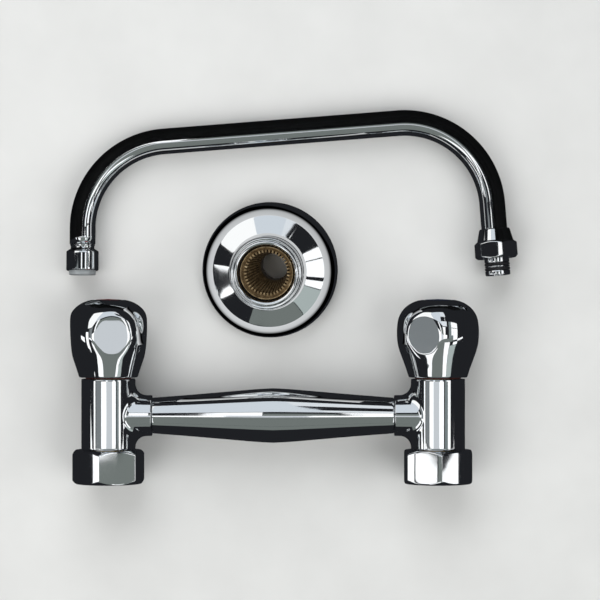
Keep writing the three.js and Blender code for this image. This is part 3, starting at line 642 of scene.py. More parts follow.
def tee(name, radius, low, high, branch_r, fillet, rest, branch, place, body, per_side=40):
    """radius(v) is the main cylinder's radius along its axis Y between low and high, and the branch runs
    along +X. rest is the outline from the high edge round through the bore to the low edge, and branch
    the outline of (distance from the main axis, radius) beyond the fillet, ending near radius 0."""
    rings = front_rings(radius, low, high, branch_r, fillet, branch, per_side)
    count = len(rings[0])
    points = [p for ring in rings for p in ring]
    faces = grid_faces(len(rings), count)
    hub = len(points)
    points.append((branch[-1][0], 0, 0))
    faces += [(hub - count + j, hub - count + (j + 1) % count, hub) for j in range(count)]

    front = np.linspace(-math.pi / 2, math.pi / 2, per_side + 1)
    back = np.linspace(math.pi / 2, 3 * math.pi / 2, per_side + 1)
    levels = np.linspace(low, high, per_side + 1)
    first = len(points)
    points += [(radius(v) * math.cos(t), v, radius(v) * math.sin(t)) for v in levels for t in back]
    faces += [f[::-1] for f in grid_faces(len(levels), len(back), first, wrap_columns=False)]

    whole = list(front[:-1]) + list(back[:-1])
    line = [(radius(high), high)] + rest + [(radius(low), low)]
    first = len(points)
    points += [(r * math.cos(t), v, r * math.sin(t)) for r, v in line for t in whole]
    faces += [f[::-1] for f in grid_faces(len(line), len(whole), first)]
    piece = mesh_piece(name, points, faces, place, chrome)
    close_seams(piece)
    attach(piece, body)
    return piece


def close_seams(piece, gap=0.002):
    """Joins points that lie on each other, and turns all faces outwards."""
    bm = bmesh.new()
    bm.from_mesh(piece.data)
    bmesh.ops.remove_doubles(bm, verts=bm.verts, dist=gap * MM)
    bmesh.ops.recalc_face_normals(bm, faces=bm.faces)
    open_edges = sum(1 for e in bm.edges if len(e.link_faces) != 2)
    bm.to_mesh(piece.data)
    bm.free()
    piece.data.polygons.foreach_set("use_smooth", [True] * len(piece.data.polygons))
    print(piece.name, len(piece.data.polygons), "faces,", open_edges, "open edges")


# %% Columns
COLUMN_R, COLUMN_LOW, COLUMN_HIGH = 16.65, -20.8, 22.6
RIM = 1.2  # the sheet with the fillet stops this short of both ends
COLLAR_R, COLLAR_END, FILLET = 12.6, 27.0, 7.0
column_rest = dense(
    rounded(
        [
            (COLUMN_R, COLUMN_HIGH - RIM, 0), (COLUMN_R, COLUMN_HIGH, 0.6), (10.3, COLUMN_HIGH, 0.3),
            (10.3, -8), (7.4, -8), (7.4, -6.6, 0.3), (6, -6.6, 0.3), (6, -12), (10.8, -12),
            (10.8, COLUMN_LOW, 0.3), (COLUMN_R, COLUMN_LOW, 0.6), (COLUMN_R, COLUMN_LOW + RIM, 0)
        ],
        0.1,
        closed=False,
    ),
    3.0,
    closed=False,
)[1:-1]
collar = dense(
    rounded(
        [(23.7, COLLAR_R), (COLLAR_END, COLLAR_R, 0.7), (COLLAR_END, 9.7, 0.3), (18.1, 9.7), (18.1, 0.3)],
        0.2, closed=False
    ),
    1.5, closed=False
)
for s in SIDES:
    turned_in = side_frame[s] if s == "left" else side_frame[s] @ Matrix.Rotation(math.pi, 4, "Y")
    column = tee(
        f"valve_column_{s}_cast", lambda v: COLUMN_R, COLUMN_LOW + RIM, COLUMN_HIGH - RIM, COLLAR_R, FILLET,
        column_rest, collar, turned_in, "mixer_body"
    )
    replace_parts(column, f"valve_column_{s}")

# %% [markdown]
# The bridge is a double cone: widest in the middle, where the outlet leaves it on the side that faces
# the surface, and slim at the columns. Its middle is drawn as a soft crown, not a sharp ridge.

# %% Bridge
BRIDGE_FACE = 203.2 / 2 - 27.3
BRIDGE_MID_R, BRIDGE_END_R = 16.8, 11.0
BOSS_R, BOSS_FILLET = 13.2, 1.2  # the boss that the outlet stands on
HALF_SHEET = 19.2  # the sheet with the boss reaches this far from the middle
crown = flowing(
    [
        (BRIDGE_MID_R, 0), (BRIDGE_MID_R - 0.5, 0.13 * BRIDGE_FACE),
        (BRIDGE_MID_R - 1.8, 0.34 * BRIDGE_FACE), (BRIDGE_END_R + 1.9, 0.67 * BRIDGE_FACE),
        (BRIDGE_END_R, BRIDGE_FACE)
    ],
    60
)
crown_h, crown_r = np.array([p[1] for p in crown]), np.array([p[0] for p in crown])


def bridge_radius(v):
    return float(np.interp(abs(v), crown_h, crown_r))


spigot = rounded(
    [
        (BRIDGE_END_R, BRIDGE_FACE - 0.8, 0), (BRIDGE_END_R, BRIDGE_FACE, 0.4), (9.3, BRIDGE_FACE, 0.1),
        (9.3, BRIDGE_FACE + 3.05), (7.8, BRIDGE_FACE + 3.05), (7.8, BRIDGE_FACE + 5.55),
        (9.3, BRIDGE_FACE + 5.55), (9.3, BRIDGE_FACE + 8.3, 0.3), (6.2, BRIDGE_FACE + 8.3, 0.3), (6.2, 0)
    ],
    0.1, closed=False
)[:-1]
slope = [(bridge_radius(v), v) for v in np.linspace(HALF_SHEET, BRIDGE_FACE - 0.8, 60)]
half_rest = slope + dense(spigot[1:], 4.0, closed=False)
bridge_rest = half_rest + [(r, -v) for r, v in reversed(half_rest)]
OUTLET_R, OUTLET_LENGTH = 10.45, 25.5
outlet = dense(
    rounded(
        [
            (16.8, BOSS_R), (17.5, BOSS_R, 0.3), (17.5, OUTLET_R, 0.1), (24.9, OUTLET_R, 0.2),
            (OUTLET_LENGTH, OUTLET_R - 0.6, 0.2), (OUTLET_LENGTH, 8.1, 0.2), (8, 8.1, 0.1), (8, 0.3)
        ],
        0.1, closed=False
    ),
    1.5, closed=False
)
# In the branch's frame the main axis is Y and the branch X, so Y is laid along the bridge and X down.
lying = bridge_frame @ Matrix(((0, 1, 0, 0), (0, 0, -1, 0), (-1, 0, 0, 0), (0, 0, 0, 1)))
bridge = tee(
    "bridge_bar_cast", bridge_radius, -HALF_SHEET, HALF_SHEET, BOSS_R, BOSS_FILLET, bridge_rest, outlet,
    lying, "mixer_body", per_side=44
)
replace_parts(bridge, "bridge_bar")
print("bridge", BRIDGE_MID_R, "mm to", BRIDGE_END_R, "mm in radius")

# %% [markdown]
# ## Swivel spout
# The spout is one drawn tube with two bends, so a circle swept along a line and two arcs is exactly
# right. The wall is real: the sweep runs along the outside and back along the bore.

# %% Spout tube
TUBE_R, TUBE_BORE_R = 8.0, 7.0
SPOUT_RISE, SPOUT_REACH, BEND_R = 99.4, 255.5, 54.5
OUTLET_LEAN, OUTLET_DROP, TUBE_START = 4.5, 59.9, 21.95


def tube_line(step=2.2):
    """Centre line of the tube in its own plane: points, and the direction across it at each one."""
    stations = []

    def straight(x0, y0, x1, y1):
        n = max(2, int(math.hypot(x1 - x0, y1 - y0) / 6))
        across = np.array([-(y1 - y0), x1 - x0]) / math.hypot(x1 - x0, y1 - y0)
        stations.extend(((x0 + (x1 - x0) * k / n, y0 + (y1 - y0) * k / n), across) for k in range(n))

    def bend(cx, cy, start, end):
        n = int(math.radians(end - start) * BEND_R / step)
        for k in range(n):
            t = math.radians(start + (end - start) * k / n)
            stations.append(
                (
                    (cx + BEND_R * math.cos(t), cy + BEND_R * math.sin(t)),
                    np.array([-math.cos(t), -math.sin(t)])
                )
            )

    cy = SPOUT_RISE - BEND_R
    straight(0, TUBE_START, 0, cy)
    bend(-BEND_R, cy, 0, 90)
    straight(-BEND_R, SPOUT_RISE, -SPOUT_REACH + BEND_R, SPOUT_RISE)
    last = 180 - OUTLET_LEAN
    bend(-SPOUT_REACH + BEND_R, cy, 90, last)
    t = math.radians(last)
    x0, y0 = -SPOUT_REACH + BEND_R + BEND_R * math.cos(t), cy + BEND_R * math.sin(t)
    drop = y0 - (SPOUT_RISE - OUTLET_DROP)
    x1, y1 = x0 - drop * math.tan(math.radians(OUTLET_LEAN)), y0 - drop
    straight(x0, y0, x1, y1)
    stations.append(((x1, y1), stations[-1][1]))
    return stations, (x1, y1)


stations, tube_end = tube_line()
around = np.linspace(0, 2 * math.pi, 72, endpoint=False)
rings = []
for radius, line in ((TUBE_R, stations), (TUBE_BORE_R, stations[::-1])):
    for (x, y), across in line:
        side, up = radius * np.cos(around), radius * np.sin(around)
        rings.append(list(zip(x + side * across[0], y + side * across[1], up)))
spout_tube = mesh_piece(
    "spout_tube_drawn", [p for ring in rings for p in ring],
    grid_faces(len(rings), len(around), wrap_rows=True), spout_frame, chrome
)
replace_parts(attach(spout_tube, "spout"), "spout_tube")
print("spout tube", len(spout_tube.data.polygons), "faces")

# %% [markdown]
# The nut that holds the spout is a small hexagon with a turned cone above it. Under it the tail of the
# spout shows its two ring grooves. Both are turned shapes again.

# %% Spout nut, tail and rings
SPOUT_NUT_AF, SPOUT_NUT_TURN = 24.0, 13
spout_corner = SPOUT_NUT_AF / 2 / math.cos(math.pi / 6)
spout_nut_outline = rounded(
    [
        (9.3, 10.9, 0.1), (9.7, 10.5, 0.1), (SPOUT_NUT_AF / 2 - 0.2, 10.5, 0.35),
        (spout_corner + 0.5, 12.4, 0.15), (spout_corner + 0.5, 19.3, 0.15), (11.6, 21.0, 0.3),
        (11.2, 21.5, 0.3), (9.5, 28.4, 0.6), (9.0, 29.0, 0.4), (8.4, 29.0, 0.2), (8.4, 21.8, 0.1),
        (9.3, 21.8, 0.1),
    ],
    0.2,
)
spout_nut = spun(
    "spout_nut_plated", dense(spout_nut_outline, 0.5), spout_frame, chrome, "spout_nut",
    shape=hexagon(SPOUT_NUT_AF, SPOUT_NUT_TURN + 30, 10.0, 21.3, bulge=0.25),
    angles=hexagon_angles(SPOUT_NUT_TURN)
)
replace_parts(spout_nut, "spout_nut")

tail_outline = rounded(
    [
        (5.5, 0, 0.3), (7.7, 0, 0.5), (7.7, 2.8, 0.15), (6.35, 2.8, 0.1), (6.35, 5.1, 0.1),
        (7.7, 5.1, 0.15), (7.7, 5.7, 0.15), (6.35, 5.7, 0.1), (6.35, 8.0, 0.1),
        (7.7, 8.0, 0.15), (7.7, 18.9, 0.1), (8.8, 18.9, 0.2), (8.8, 21.5, 0.2), (6.7, 21.5, 0.2),
        (6.7, 32.5, 0.3), (5.5, 32.5, 0.2),
    ],
    0.15,
)
tail = spun(
    "spout_tail_turned", dense(tail_outline, 2.0), spout_frame, chrome, "spout", sides=96
)
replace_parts(tail, "spout_tail")
for name, low_h in (("lower", 2.8), ("upper", 5.7)):
    section = [
        (7.17 + 0.72 * math.cos(a), low_h + 1.15 + 0.88 * math.sin(a))
        for a in np.linspace(0, 2 * math.pi, 16, endpoint=False)
    ]
    o_ring = spun(
        f"spout_o_ring_{name}_moulded", section, spout_frame, rubber, "spout", sides=80
    )
    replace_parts(o_ring, f"spout_o_ring_{name}")
slip_outline = rounded([(8.0, 16.6), (9.0, 16.6), (9.0, 18.6), (8.0, 18.6)], 0.25)
slip_ring = spun(
    "spout_slip_ring_moulded", slip_outline, spout_frame, white_acetal, "spout", sides=80
)
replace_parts(slip_ring, "spout_slip_ring")
print("nut", SPOUT_NUT_AF, "mm across its flats")

# %% [markdown]
# The aerator housing has a pinched neck under the tube, a bright shoulder and a straight skirt. The
# grey insert stands a little out of it.

# %% Aerator
outlet_frame = spout_frame @ Matrix.Translation(
    Vector((tube_end[0], tube_end[1], 0)) * MM
) @ Matrix.Rotation(math.radians(-OUTLET_LEAN), 4, "Z")
housing_outline = rounded(
    [
        (6.7, 6, 0.3), (6.7, -0.3, 0.1), (8.0, -0.3, 0.3), (7.3, -1.5, 0.5), (7.3, -3.0, 0.8),
        (10.0, -4.7, 0.6), (10.0, -16.2, 0.4), (9.5, -16.7, 0.2),
        (8.6, -16.7, 0.2), (8.6, -5.5, 0.1), (5.5, -5.5, 0.1), (5.5, 6, 0.2),
    ],
    0.15,
)
housing = spun(
    "aerator_housing_plated", dense(housing_outline, 1.2), outlet_frame, chrome, "spout",
    sides=112
)
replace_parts(housing, "aerator_housing")
insert_outline = rounded(
    [
        (0.01, -8.1), (8.3, -8.1, 0.3), (8.3, -19.4, 0.4), (6.8, -19.4, 0.3), (6.8, -10.1, 0.2),
        (0.01, -10.1)
    ],
    0.15
)
insert = spun(
    "aerator_insert_moulded", insert_outline, outlet_frame, grey_acetal, "spout", sides=96
)
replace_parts(insert, "aerator_insert")
print("aerator leans", OUTLET_LEAN, "degrees")

# %% [markdown]
# ## Wall flange
# The flange is spun from thin brass sheet: a steep rim, a straight cone, and a collar rolled over into
# a bead round the hole. The bead is what catches most of the light, so its outline has two soft ridges
# and a shallow valley between them.

# %% Flange
flange_outline = rounded(
    [
        (42.2, 0, 0.5), (42.2, 4, 3.0), (41.2, 8.6, 6.0), (38.6, 13.2, 6.0), (34.6, 15.9, 3.0),
        (23.9, 21.2, 0.8), (22.2, 22.6, 0.8), (22.2, 31.6, 0.8),
        (22.8, 33.6, 1.2), (22.6, 36.0, 1.5), (21.3, 37.2, 0.9), (20.4, 36.5, 0.9), (19.3, 37.6, 1.0),
        (17.8, 37.0, 0.9), (17.25, 35.6, 0.6), (17.25, 32.6, 0.5),
        (20.4, 31.2, 0.3), (20.4, 20.6, 0.8), (34.4, 14, 3.0), (37.6, 11.2, 3.0), (39.8, 7.6, 3.0),
        (40.6, 4, 2.0), (40.6, 0, 0.4),
    ],
    0.3,
    steps=8,
)
flange = spun(
    "wall_flange_spun", dense(flange_outline, 1.2), flange_frame, chrome, "wall_flange",
    sides=224
)
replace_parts(flange, "wall_flange")
print("flange", len(flange.data.polygons), "faces")

# %% [markdown]
# ## Eccentric union
# The union inside the flange joins two pipes whose axes are a few millimetres apart, so its passage
# leans sideways on the way down. It is turned round first and then sheared, the way a bent core makes
# the real casting.

# %% Union body
ECCENTRIC_R, ECCENTRIC_TOP, ECCENTRIC_LOW = 16.4, 32.6, -4.4
ECCENTRIC_TURN, OFFSET = 38, 5.0
union_frame = flange_frame @ Matrix.Rotation(math.radians(ECCENTRIC_TURN), 4, "Y")
union_wall = rounded(
    [
        (8.8, ECCENTRIC_LOW, 0.4), (13.2, ECCENTRIC_LOW, 0.8), (13.2, 11, 1.0), (ECCENTRIC_R, 15, 1.0),
        (ECCENTRIC_R, ECCENTRIC_TOP, 0.5),
        (15.7, ECCENTRIC_TOP, 0.4), (13.8, ECCENTRIC_TOP - 2.6, 1.0), (9.2, 14, 2.0), (8.8, 10, 1.5),
    ],
    0.3,
)
points, count = [], 112
union_wall = dense(union_wall, 1.5)
for k, (r, h) in enumerate(union_wall):
    outside = h < 15.2 and r > 9.5
    share = np.clip((15 - h) / 4, 0, 1) if outside else np.clip((ECCENTRIC_TOP - 2 - h) / 19.6, 0, 1)
    for a in np.linspace(0, 2 * math.pi, count, endpoint=False):
        points.append((r * math.sin(a) + OFFSET * share, h, r * math.cos(a)))
union = mesh_piece(
    "eccentric_union_cast", points, grid_faces(len(union_wall), count, wrap_rows=True), union_frame,
    cast_brass
)
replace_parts(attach(union, "eccentric_union"), "eccentric_union")
print("union", len(union.data.polygons), "faces, passage shifted by", OFFSET, "mm")

# %% [markdown]
# ## Geometry Nodes for what repeats
# Threads, the key ribs in the union's mouth and the wires of the aerator's screen are one small shape
# repeated by a rule. Each is a node tree with named sizes. The modifier's inputs are set by the socket's
# identifier, and the result is turned into a plain mesh before it joins the model.

# %% Helpers for node trees
def new_tree(name, inputs):
    """An empty geometry tree with named float or integer inputs, and its two end nodes."""
    tree = bpy.data.node_groups.new(name, "GeometryNodeTree")
    tree.interface.new_socket("Geometry", in_out="OUTPUT", socket_type="NodeSocketGeometry")
    for label, value in inputs.items():
        kind = "NodeSocketInt" if isinstance(value, int) else "NodeSocketFloat"
        tree.interface.new_socket(label, in_out="INPUT", socket_type=kind).default_value = value
    return tree, add(tree, "NodeGroupInput"), add(tree, "NodeGroupOutput")


def grown(name, tree, sizes, place, body):
    """Runs the tree with these sizes (millimetres are scaled in the mesh) and returns a plain mesh object."""
    holder = bpy.data.objects.new(name + "_nodes", bpy.data.meshes.new(name + "_empty"))
    bpy.context.scene.collection.objects.link(holder)
    modifier = holder.modifiers.new("grow", "NODES")
    modifier.node_group = tree
    for item in tree.interface.items_tree:
        if item.in_out == "INPUT" and item.name in sizes:
            modifier[item.identifier] = sizes[item.name]
    bpy.context.view_layer.update()
    done = holder.evaluated_get(bpy.context.evaluated_depsgraph_get())
    data = bpy.data.meshes.new_from_object(done)
    bpy.data.objects.remove(holder)
    data.transform(Matrix.Scale(MM, 4))
    data.transform(place)
    data.name = name
    piece = bpy.data.objects.new(name, data)
    bpy.context.scene.collection.objects.link(piece)
    used = [m for m in data.materials if m]
    data.materials.clear()
    data.materials.append(used[0])
    data.polygons.foreach_set("material_index", [0] * len(data.polygons))
    print(name, len(data.polygons), "faces of", used[0].name)
    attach(piece, body)
    return piece


def finish_tree(tree, out, geometry, finish):
    """Ends a tree: instances are made real and take their finish."""
    real = add(tree, "GeometryNodeRealizeInstances", links={"Geometry": geometry})
    painted = add(tree, "GeometryNodeSetMaterial", {"Material": finish}, {"Geometry": real.outputs[0]})
    tree.links.new(painted.outputs[0], out.inputs[0])


# %% [markdown]
# A pipe thread is a spiral ridge. The spiral runs along Z in its tree, and a three-sided profile is
# swept along it, with closed ends so that the ridge is a solid of its own that sinks into the wall.

# %% Threads
def thread_tree(name, finish):
    """A spiral ridge of three-sided section, for a thread."""
    tree, given, out = new_tree(name, {"Radius": 10.0, "Pitch": 2.309, "Turns": 3.0, "Ridge": 1.0})
    length = add(
        tree, "ShaderNodeMath", {"operation": "MULTIPLY"},
        {0: given.outputs["Pitch"], 1: given.outputs["Turns"]}
    )
    spiral = add(
        tree, "GeometryNodeCurveSpiral", {"Resolution": 56},
        {
            "Rotations": given.outputs["Turns"], "Start Radius": given.outputs["Radius"],
            "End Radius": given.outputs["Radius"], "Height": length.outputs[0]
        }
    )
    profile = add(
        tree, "GeometryNodeCurvePrimitiveCircle", {"Resolution": 3}, {"Radius": given.outputs["Ridge"]}
    )
    ridge = add(
        tree, "GeometryNodeCurveToMesh", {"Fill Caps": True},
        {"Curve": spiral.outputs[0], "Profile Curve": profile.outputs[0]}
    )
    finish_tree(tree, out, ridge.outputs[0], finish)
    return tree


upright = Matrix.Rotation(math.radians(-90), 4, "X")  # the tree's Z becomes local Y
plated_thread, brass_thread = thread_tree("plated_thread", chrome), thread_tree("cast_thread", cast_brass)
for s in SIDES:
    place = side_frame[s] @ Matrix.Translation(Vector((0, -40.2, 0)) * MM) @ upright
    grown(
        f"union_nut_{s}_thread", brass_thread, {"Radius": 15.5, "Turns": 5.0, "Ridge": 0.9}, place,
        f"union_nut_{s}"
    )
down = bridge_frame @ Matrix.Rotation(math.pi, 4, "X") @ Matrix.Translation(Vector((0, 0, 18.3)) * MM)
grown(
    "outlet_thread", plated_thread, {"Radius": 10.3, "Pitch": 1.814, "Turns": 3.4, "Ridge": 0.75}, down,
    "mixer_body"
)
place = union_frame @ Matrix.Translation(Vector((0, 17.4, 0)) * MM) @ upright
grown(
    "eccentric_union_pipe_thread", brass_thread, {"Radius": 16.25, "Turns": 5.6, "Ridge": 0.8}, place,
    "eccentric_union"
)

# %% [markdown]
# A ribbed key grips the union from inside, so its mouth has straight ribs all round. Thin bars stand on
# a circle, and a position rule leans and narrows them with depth so that they follow the passage.

# %% Key ribs
tree, given, out = new_tree(
    "key_ribs",
    {
        "Count": 40, "Top Radius": 13.7, "Low Radius": 9.5, "Depth": 16.0, "Shift": 4.2, "Width": 0.8,
        "Height": 2.3
    }
)
START_R = 11.5  # close to where the bars end up, so that they keep their width
circle = add(tree, "GeometryNodeMeshCircle", {"Radius": START_R}, {"Vertices": given.outputs["Count"]})
where = add(tree, "GeometryNodeInputPosition")
facing = add(tree, "FunctionNodeAlignRotationToVector", {"axis": "X"}, {"Vector": where.outputs[0]})
size = add(
    tree, "ShaderNodeCombineXYZ",
    links={"X": given.outputs["Height"], "Y": given.outputs["Width"], "Z": given.outputs["Depth"]}
)
bar = add(
    tree, "GeometryNodeMeshCube", {"Vertices X": 2, "Vertices Y": 3, "Vertices Z": 7},
    {"Size": size.outputs[0]}
)
bars = add(
    tree, "GeometryNodeInstanceOnPoints",
    links={"Points": circle.outputs[0], "Instance": bar.outputs[0], "Rotation": facing.outputs[0]}
)
real = add(tree, "GeometryNodeRealizeInstances", links={"Geometry": bars.outputs[0]})
at = add(tree, "ShaderNodeSeparateXYZ", links={"Vector": where.outputs[0]})
# Share of the way down, 0 at the mouth.
fall = add(tree, "ShaderNodeMath", {"operation": "DIVIDE"}, {0: at.outputs["Z"], 1: given.outputs["Depth"]})
share = add(tree, "ShaderNodeMath", {"operation": "SUBTRACT", 0: 0.5}, {1: fall.outputs[0]})
wide = add(
    tree, "ShaderNodeMapRange", {"From Min": 0.0, "From Max": 1.0},
    {
        "Value": share.outputs[0], "To Min": given.outputs["Top Radius"],
        "To Max": given.outputs["Low Radius"]
    }
)
flat = add(tree, "ShaderNodeCombineXYZ", links={"X": at.outputs["X"], "Y": at.outputs["Y"]})
away = add(tree, "ShaderNodeVectorMath", {"operation": "NORMALIZE"}, {0: flat.outputs[0]})
further = add(tree, "ShaderNodeMath", {"operation": "SUBTRACT", 1: START_R}, {0: wide.outputs["Result"]})
outward = add(
    tree, "ShaderNodeVectorMath", {"operation": "SCALE"}, {0: away.outputs[0], "Scale": further.outputs[0]}
)
drift = add(
    tree, "ShaderNodeMath", {"operation": "MULTIPLY"}, {0: share.outputs[0], 1: given.outputs["Shift"]}
)
move = add(tree, "ShaderNodeCombineXYZ", links={"X": drift.outputs[0]})
both = add(tree, "ShaderNodeVectorMath", {"operation": "ADD"}, {0: outward.outputs[0], 1: move.outputs[0]})
moved = add(tree, "GeometryNodeSetPosition", links={"Geometry": real.outputs[0], "Offset": both.outputs[0]})
finish_tree(tree, out, moved.outputs[0], cast_brass)
# The tree's X is the side that the passage leans to, and its Z stands along the union's axis.
mouth = union_frame @ Matrix.Translation(Vector((0, ECCENTRIC_TOP - 2.2 - 8.0, 0)) * MM) @ upright
grown("eccentric_union_key_ribs", tree, {"Count": 40}, mouth, "eccentric_union")

# %% [markdown]
# The aerator's screen is a square mesh of thin wires. Bars lie side by side, each as long as the round
# opening is wide at that place, and a second layer crosses them.

# %% Aerator screen
tree, given, out = new_tree("screen_wires", {"Radius": 6.9, "Wire": 0.22, "Wires": 15})
span = add(tree, "ShaderNodeMath", {"operation": "MULTIPLY", 1: 0.94}, {0: given.outputs["Radius"]})
back = add(tree, "ShaderNodeMath", {"operation": "MULTIPLY", 1: -1.0}, {0: span.outputs[0]})
start, end = (add(tree, "ShaderNodeCombineXYZ", links={"Y": v.outputs[0]}) for v in (back, span))
row = add(
    tree, "GeometryNodeMeshLine", {"mode": "END_POINTS"},
    {"Count": given.outputs["Wires"], "Start Location": start.outputs[0], "Offset": end.outputs[0]}
)
at = add(tree, "ShaderNodeSeparateXYZ", links={"Vector": add(tree, "GeometryNodeInputPosition").outputs[0]})
squared = add(tree, "ShaderNodeMath", {"operation": "MULTIPLY"}, {0: at.outputs["Y"], 1: at.outputs["Y"]})
whole = add(
    tree, "ShaderNodeMath", {"operation": "MULTIPLY"},
    {0: given.outputs["Radius"], 1: given.outputs["Radius"]}
)
left = add(tree, "ShaderNodeMath", {"operation": "SUBTRACT"}, {0: whole.outputs[0], 1: squared.outputs[0]})
reach = add(tree, "ShaderNodeMath", {"operation": "SQRT"}, {0: left.outputs[0]})
length = add(tree, "ShaderNodeCombineXYZ", {"Y": 1.0, "Z": 1.0}, {"X": reach.outputs[0]})
thickness = add(
    tree, "ShaderNodeCombineXYZ", {"X": 2.0}, {"Y": given.outputs["Wire"], "Z": given.outputs["Wire"]}
)
wire = add(tree, "GeometryNodeMeshCube", links={"Size": thickness.outputs[0]})
layer = add(
    tree, "GeometryNodeInstanceOnPoints",
    links={"Points": row.outputs[0], "Instance": wire.outputs[0], "Scale": length.outputs[0]}
)
crossed = add(
    tree, "GeometryNodeTransform", {"Rotation": (0, 0, math.pi / 2), "Translation": (0, 0, 0.22)},
    {"Geometry": layer.outputs[0]}
)
joined = add(tree, "GeometryNodeJoinGeometry")
tree.links.new(layer.outputs[0], joined.inputs[0])
tree.links.new(crossed.outputs[0], joined.inputs[0])
finish_tree(tree, out, joined.outputs[0], steel)
place = outlet_frame @ Matrix.Translation(Vector((0, -18.3, 0)) * MM) @ upright
grown("aerator_screen", tree, {"Radius": 6.75}, place, "spout")

# %% [markdown]
# ## Surface, light and camera
# Chrome has no colour of its own: it shows the studio. Soft light comes from broad panels overhead, and
# the gaps between them draw the dark lines that give round chrome its shape. The panels hang about
# 70 cm over the surface. Three broad washes from the sides brighten the surface without showing in
# the chrome, and the surroundings stay dark to the chrome and pale to the camera.

# %% Pale surface
paper, tree, shader = material("matt_grey_white_card", Roughness=0.85)
tree.links.new(
    ramp(tree, grain(tree, 60), [(0.3, "#d3d3d1"), (0.7, "#dadad8")]), shader.inputs["Base Color"]
)
relief(tree, shader, grain(tree, 0.9), 0.02)
reach = 6.0
surface_data = bpy.data.meshes.new("surface")
surface_data.from_pydata(
    [(-reach, -reach, 0), (reach, -reach, 0), (reach, reach, 0), (-reach, reach, 0)], [], [(0, 1, 2, 3)]
)
surface_data.materials.append(paper)
floor = bpy.data.objects.new("surface", surface_data)
bpy.context.scene.collection.objects.link(floor)
floor.visible_glossy = False
print("surface", 2 * reach, "m wide")

# %% Light panels
PANEL_HEIGHT = 0.70
# Each panel: left and right edge, near and far edge in metres, brightness, colour.
PANELS = {
    "over_left": (-0.450, -0.176, -0.142, -0.060, 1.35, "#ffffff"),
    "over_middle": (-0.176, 0.128, -0.142, -0.060, 0.72, "#f4f8fc"),
    "over_right": (0.128, 0.362, -0.142, -0.060, 1.35, "#ffffff"),
    "strip_left": (-0.195, -0.100, -0.058, 0.120, 1.25, "#ffffff"),
    "strip_right": (0.160, 0.300, -0.058, 0.120, 1.25, "#ffffff"),
    "middle_grey": (-0.095, 0.155, -0.058, 0.052, 0.23, "#dfeae2"),
    "nut_grey": (-0.480, 0.640, -0.238, -0.144, 0.24, "#dfeae2"),
    "nut_left": (-0.960, -0.500, -0.200, -0.156, 1.35, "#ffffff"),
    "nut_far_left": (-3.200, -1.600, -0.460, -0.200, 1.35, "#ffffff"),
    "nut_right": (0.980, 1.900, -0.262, -0.190, 1.35, "#ffffff"),
    "back_left": (-1.05, -0.37, 0.13, 1.37, 1.15, "#fffefc"),
    "back_middle": (-0.37, 0.15, 0.14, 1.37, 0.85, "#eaf1f8"),
    "back_right_near": (0.15, 0.36, 0.14, 0.27, 0.95, "#f4f8fc"),
    "back_right_far": (0.15, 0.36, 0.62, 1.37, 0.90, "#f4f8fc"),
    "back_line": (0.300, 0.312, 0.30, 0.58, 1.15, "#ffffff"),
    "beside_left": (-0.90, -0.46, -0.150, 0.10, 0.26, "#e6eef0"),
    "beside_right": (0.434, 0.540, -0.142, 0.27, 0.30, "#dbeaea"),
    "far_teal": (0.545, 0.640, -0.150, -0.080, 0.30, "#dbeaea"),
    "far_right_side": (0.545, 0.645, -0.076, 0.105, 1.25, "#ffffff"),
    "far_right_near": (0.650, 0.950, -0.20, 0.105, 1.25, "#ffffff"),
    "far_right_back": (0.545, 0.950, 0.122, 0.27, 1.25, "#ffffff"),
    "far_right_low": (0.660, 0.970, -0.400, -0.268, 1.25, "#ffffff"),
    "far_left": (-1.30, -1.00, -0.78, 0.01, 1.35, "#ffffff"),
    "near_right": (0.500, 0.92, -1.35, -0.415, 0.55, "#e6f2ee"),
    "fillet_left": (-0.620, -0.310, -0.750, -0.244, 1.25, "#ffffff"),
    "fillet_right": (0.280, 0.490, -0.750, -0.244, 1.25, "#ffffff"),
    "near_middle": (-0.300, 0.270, -0.750, -0.242, 0.23, "#dfeae2"),
    "near_low": (-0.620, 0.490, -1.350, -0.760, 0.23, "#dfeae2"),
}
for name, (x0, x1, y0, y1, brightness, colour) in PANELS.items():
    lamp = bpy.data.lights.new(name, "AREA")
    lamp.shape = "RECTANGLE"
    lamp.size, lamp.size_y = x1 - x0, y1 - y0
    lamp.energy = brightness * math.pi * lamp.size * lamp.size_y
    lamp.color = linear(colour)[:3]
    panel = bpy.data.objects.new(name, lamp)
    panel.location = ((x0 + x1) / 2, (y0 + y1) / 2, PANEL_HEIGHT)
    panel.visible_camera = False
    bpy.context.scene.collection.objects.link(panel)
WASH_STRENGTH, WASH_SPREAD, WASH_LEAN = 1.15, 50, 48
WASHES = {"wash_back": 100, "wash_left": 215, "wash_right": 335}  # the side that each comes from
for name, azimuth in WASHES.items():
    wash_lamp = bpy.data.lights.new(name, "SUN")
    wash_lamp.energy = WASH_STRENGTH
    wash_lamp.angle = math.radians(WASH_SPREAD)
    wash = bpy.data.objects.new(name, wash_lamp)
    wash.rotation_euler = (0, math.radians(WASH_LEAN), math.radians(azimuth))
    wash.visible_glossy = False
    bpy.context.scene.collection.objects.link(wash)
print(len(PANELS), "panels and", len(WASHES), "washes")

# %% [markdown]
# Chrome tubing looks flat under panels alone, so a black card is stood along the outer side of the
# spout and bent over it. Only the chrome can see it. It keeps the outer flank of the tube dark and leaves
# a narrow bright line on the inner side.

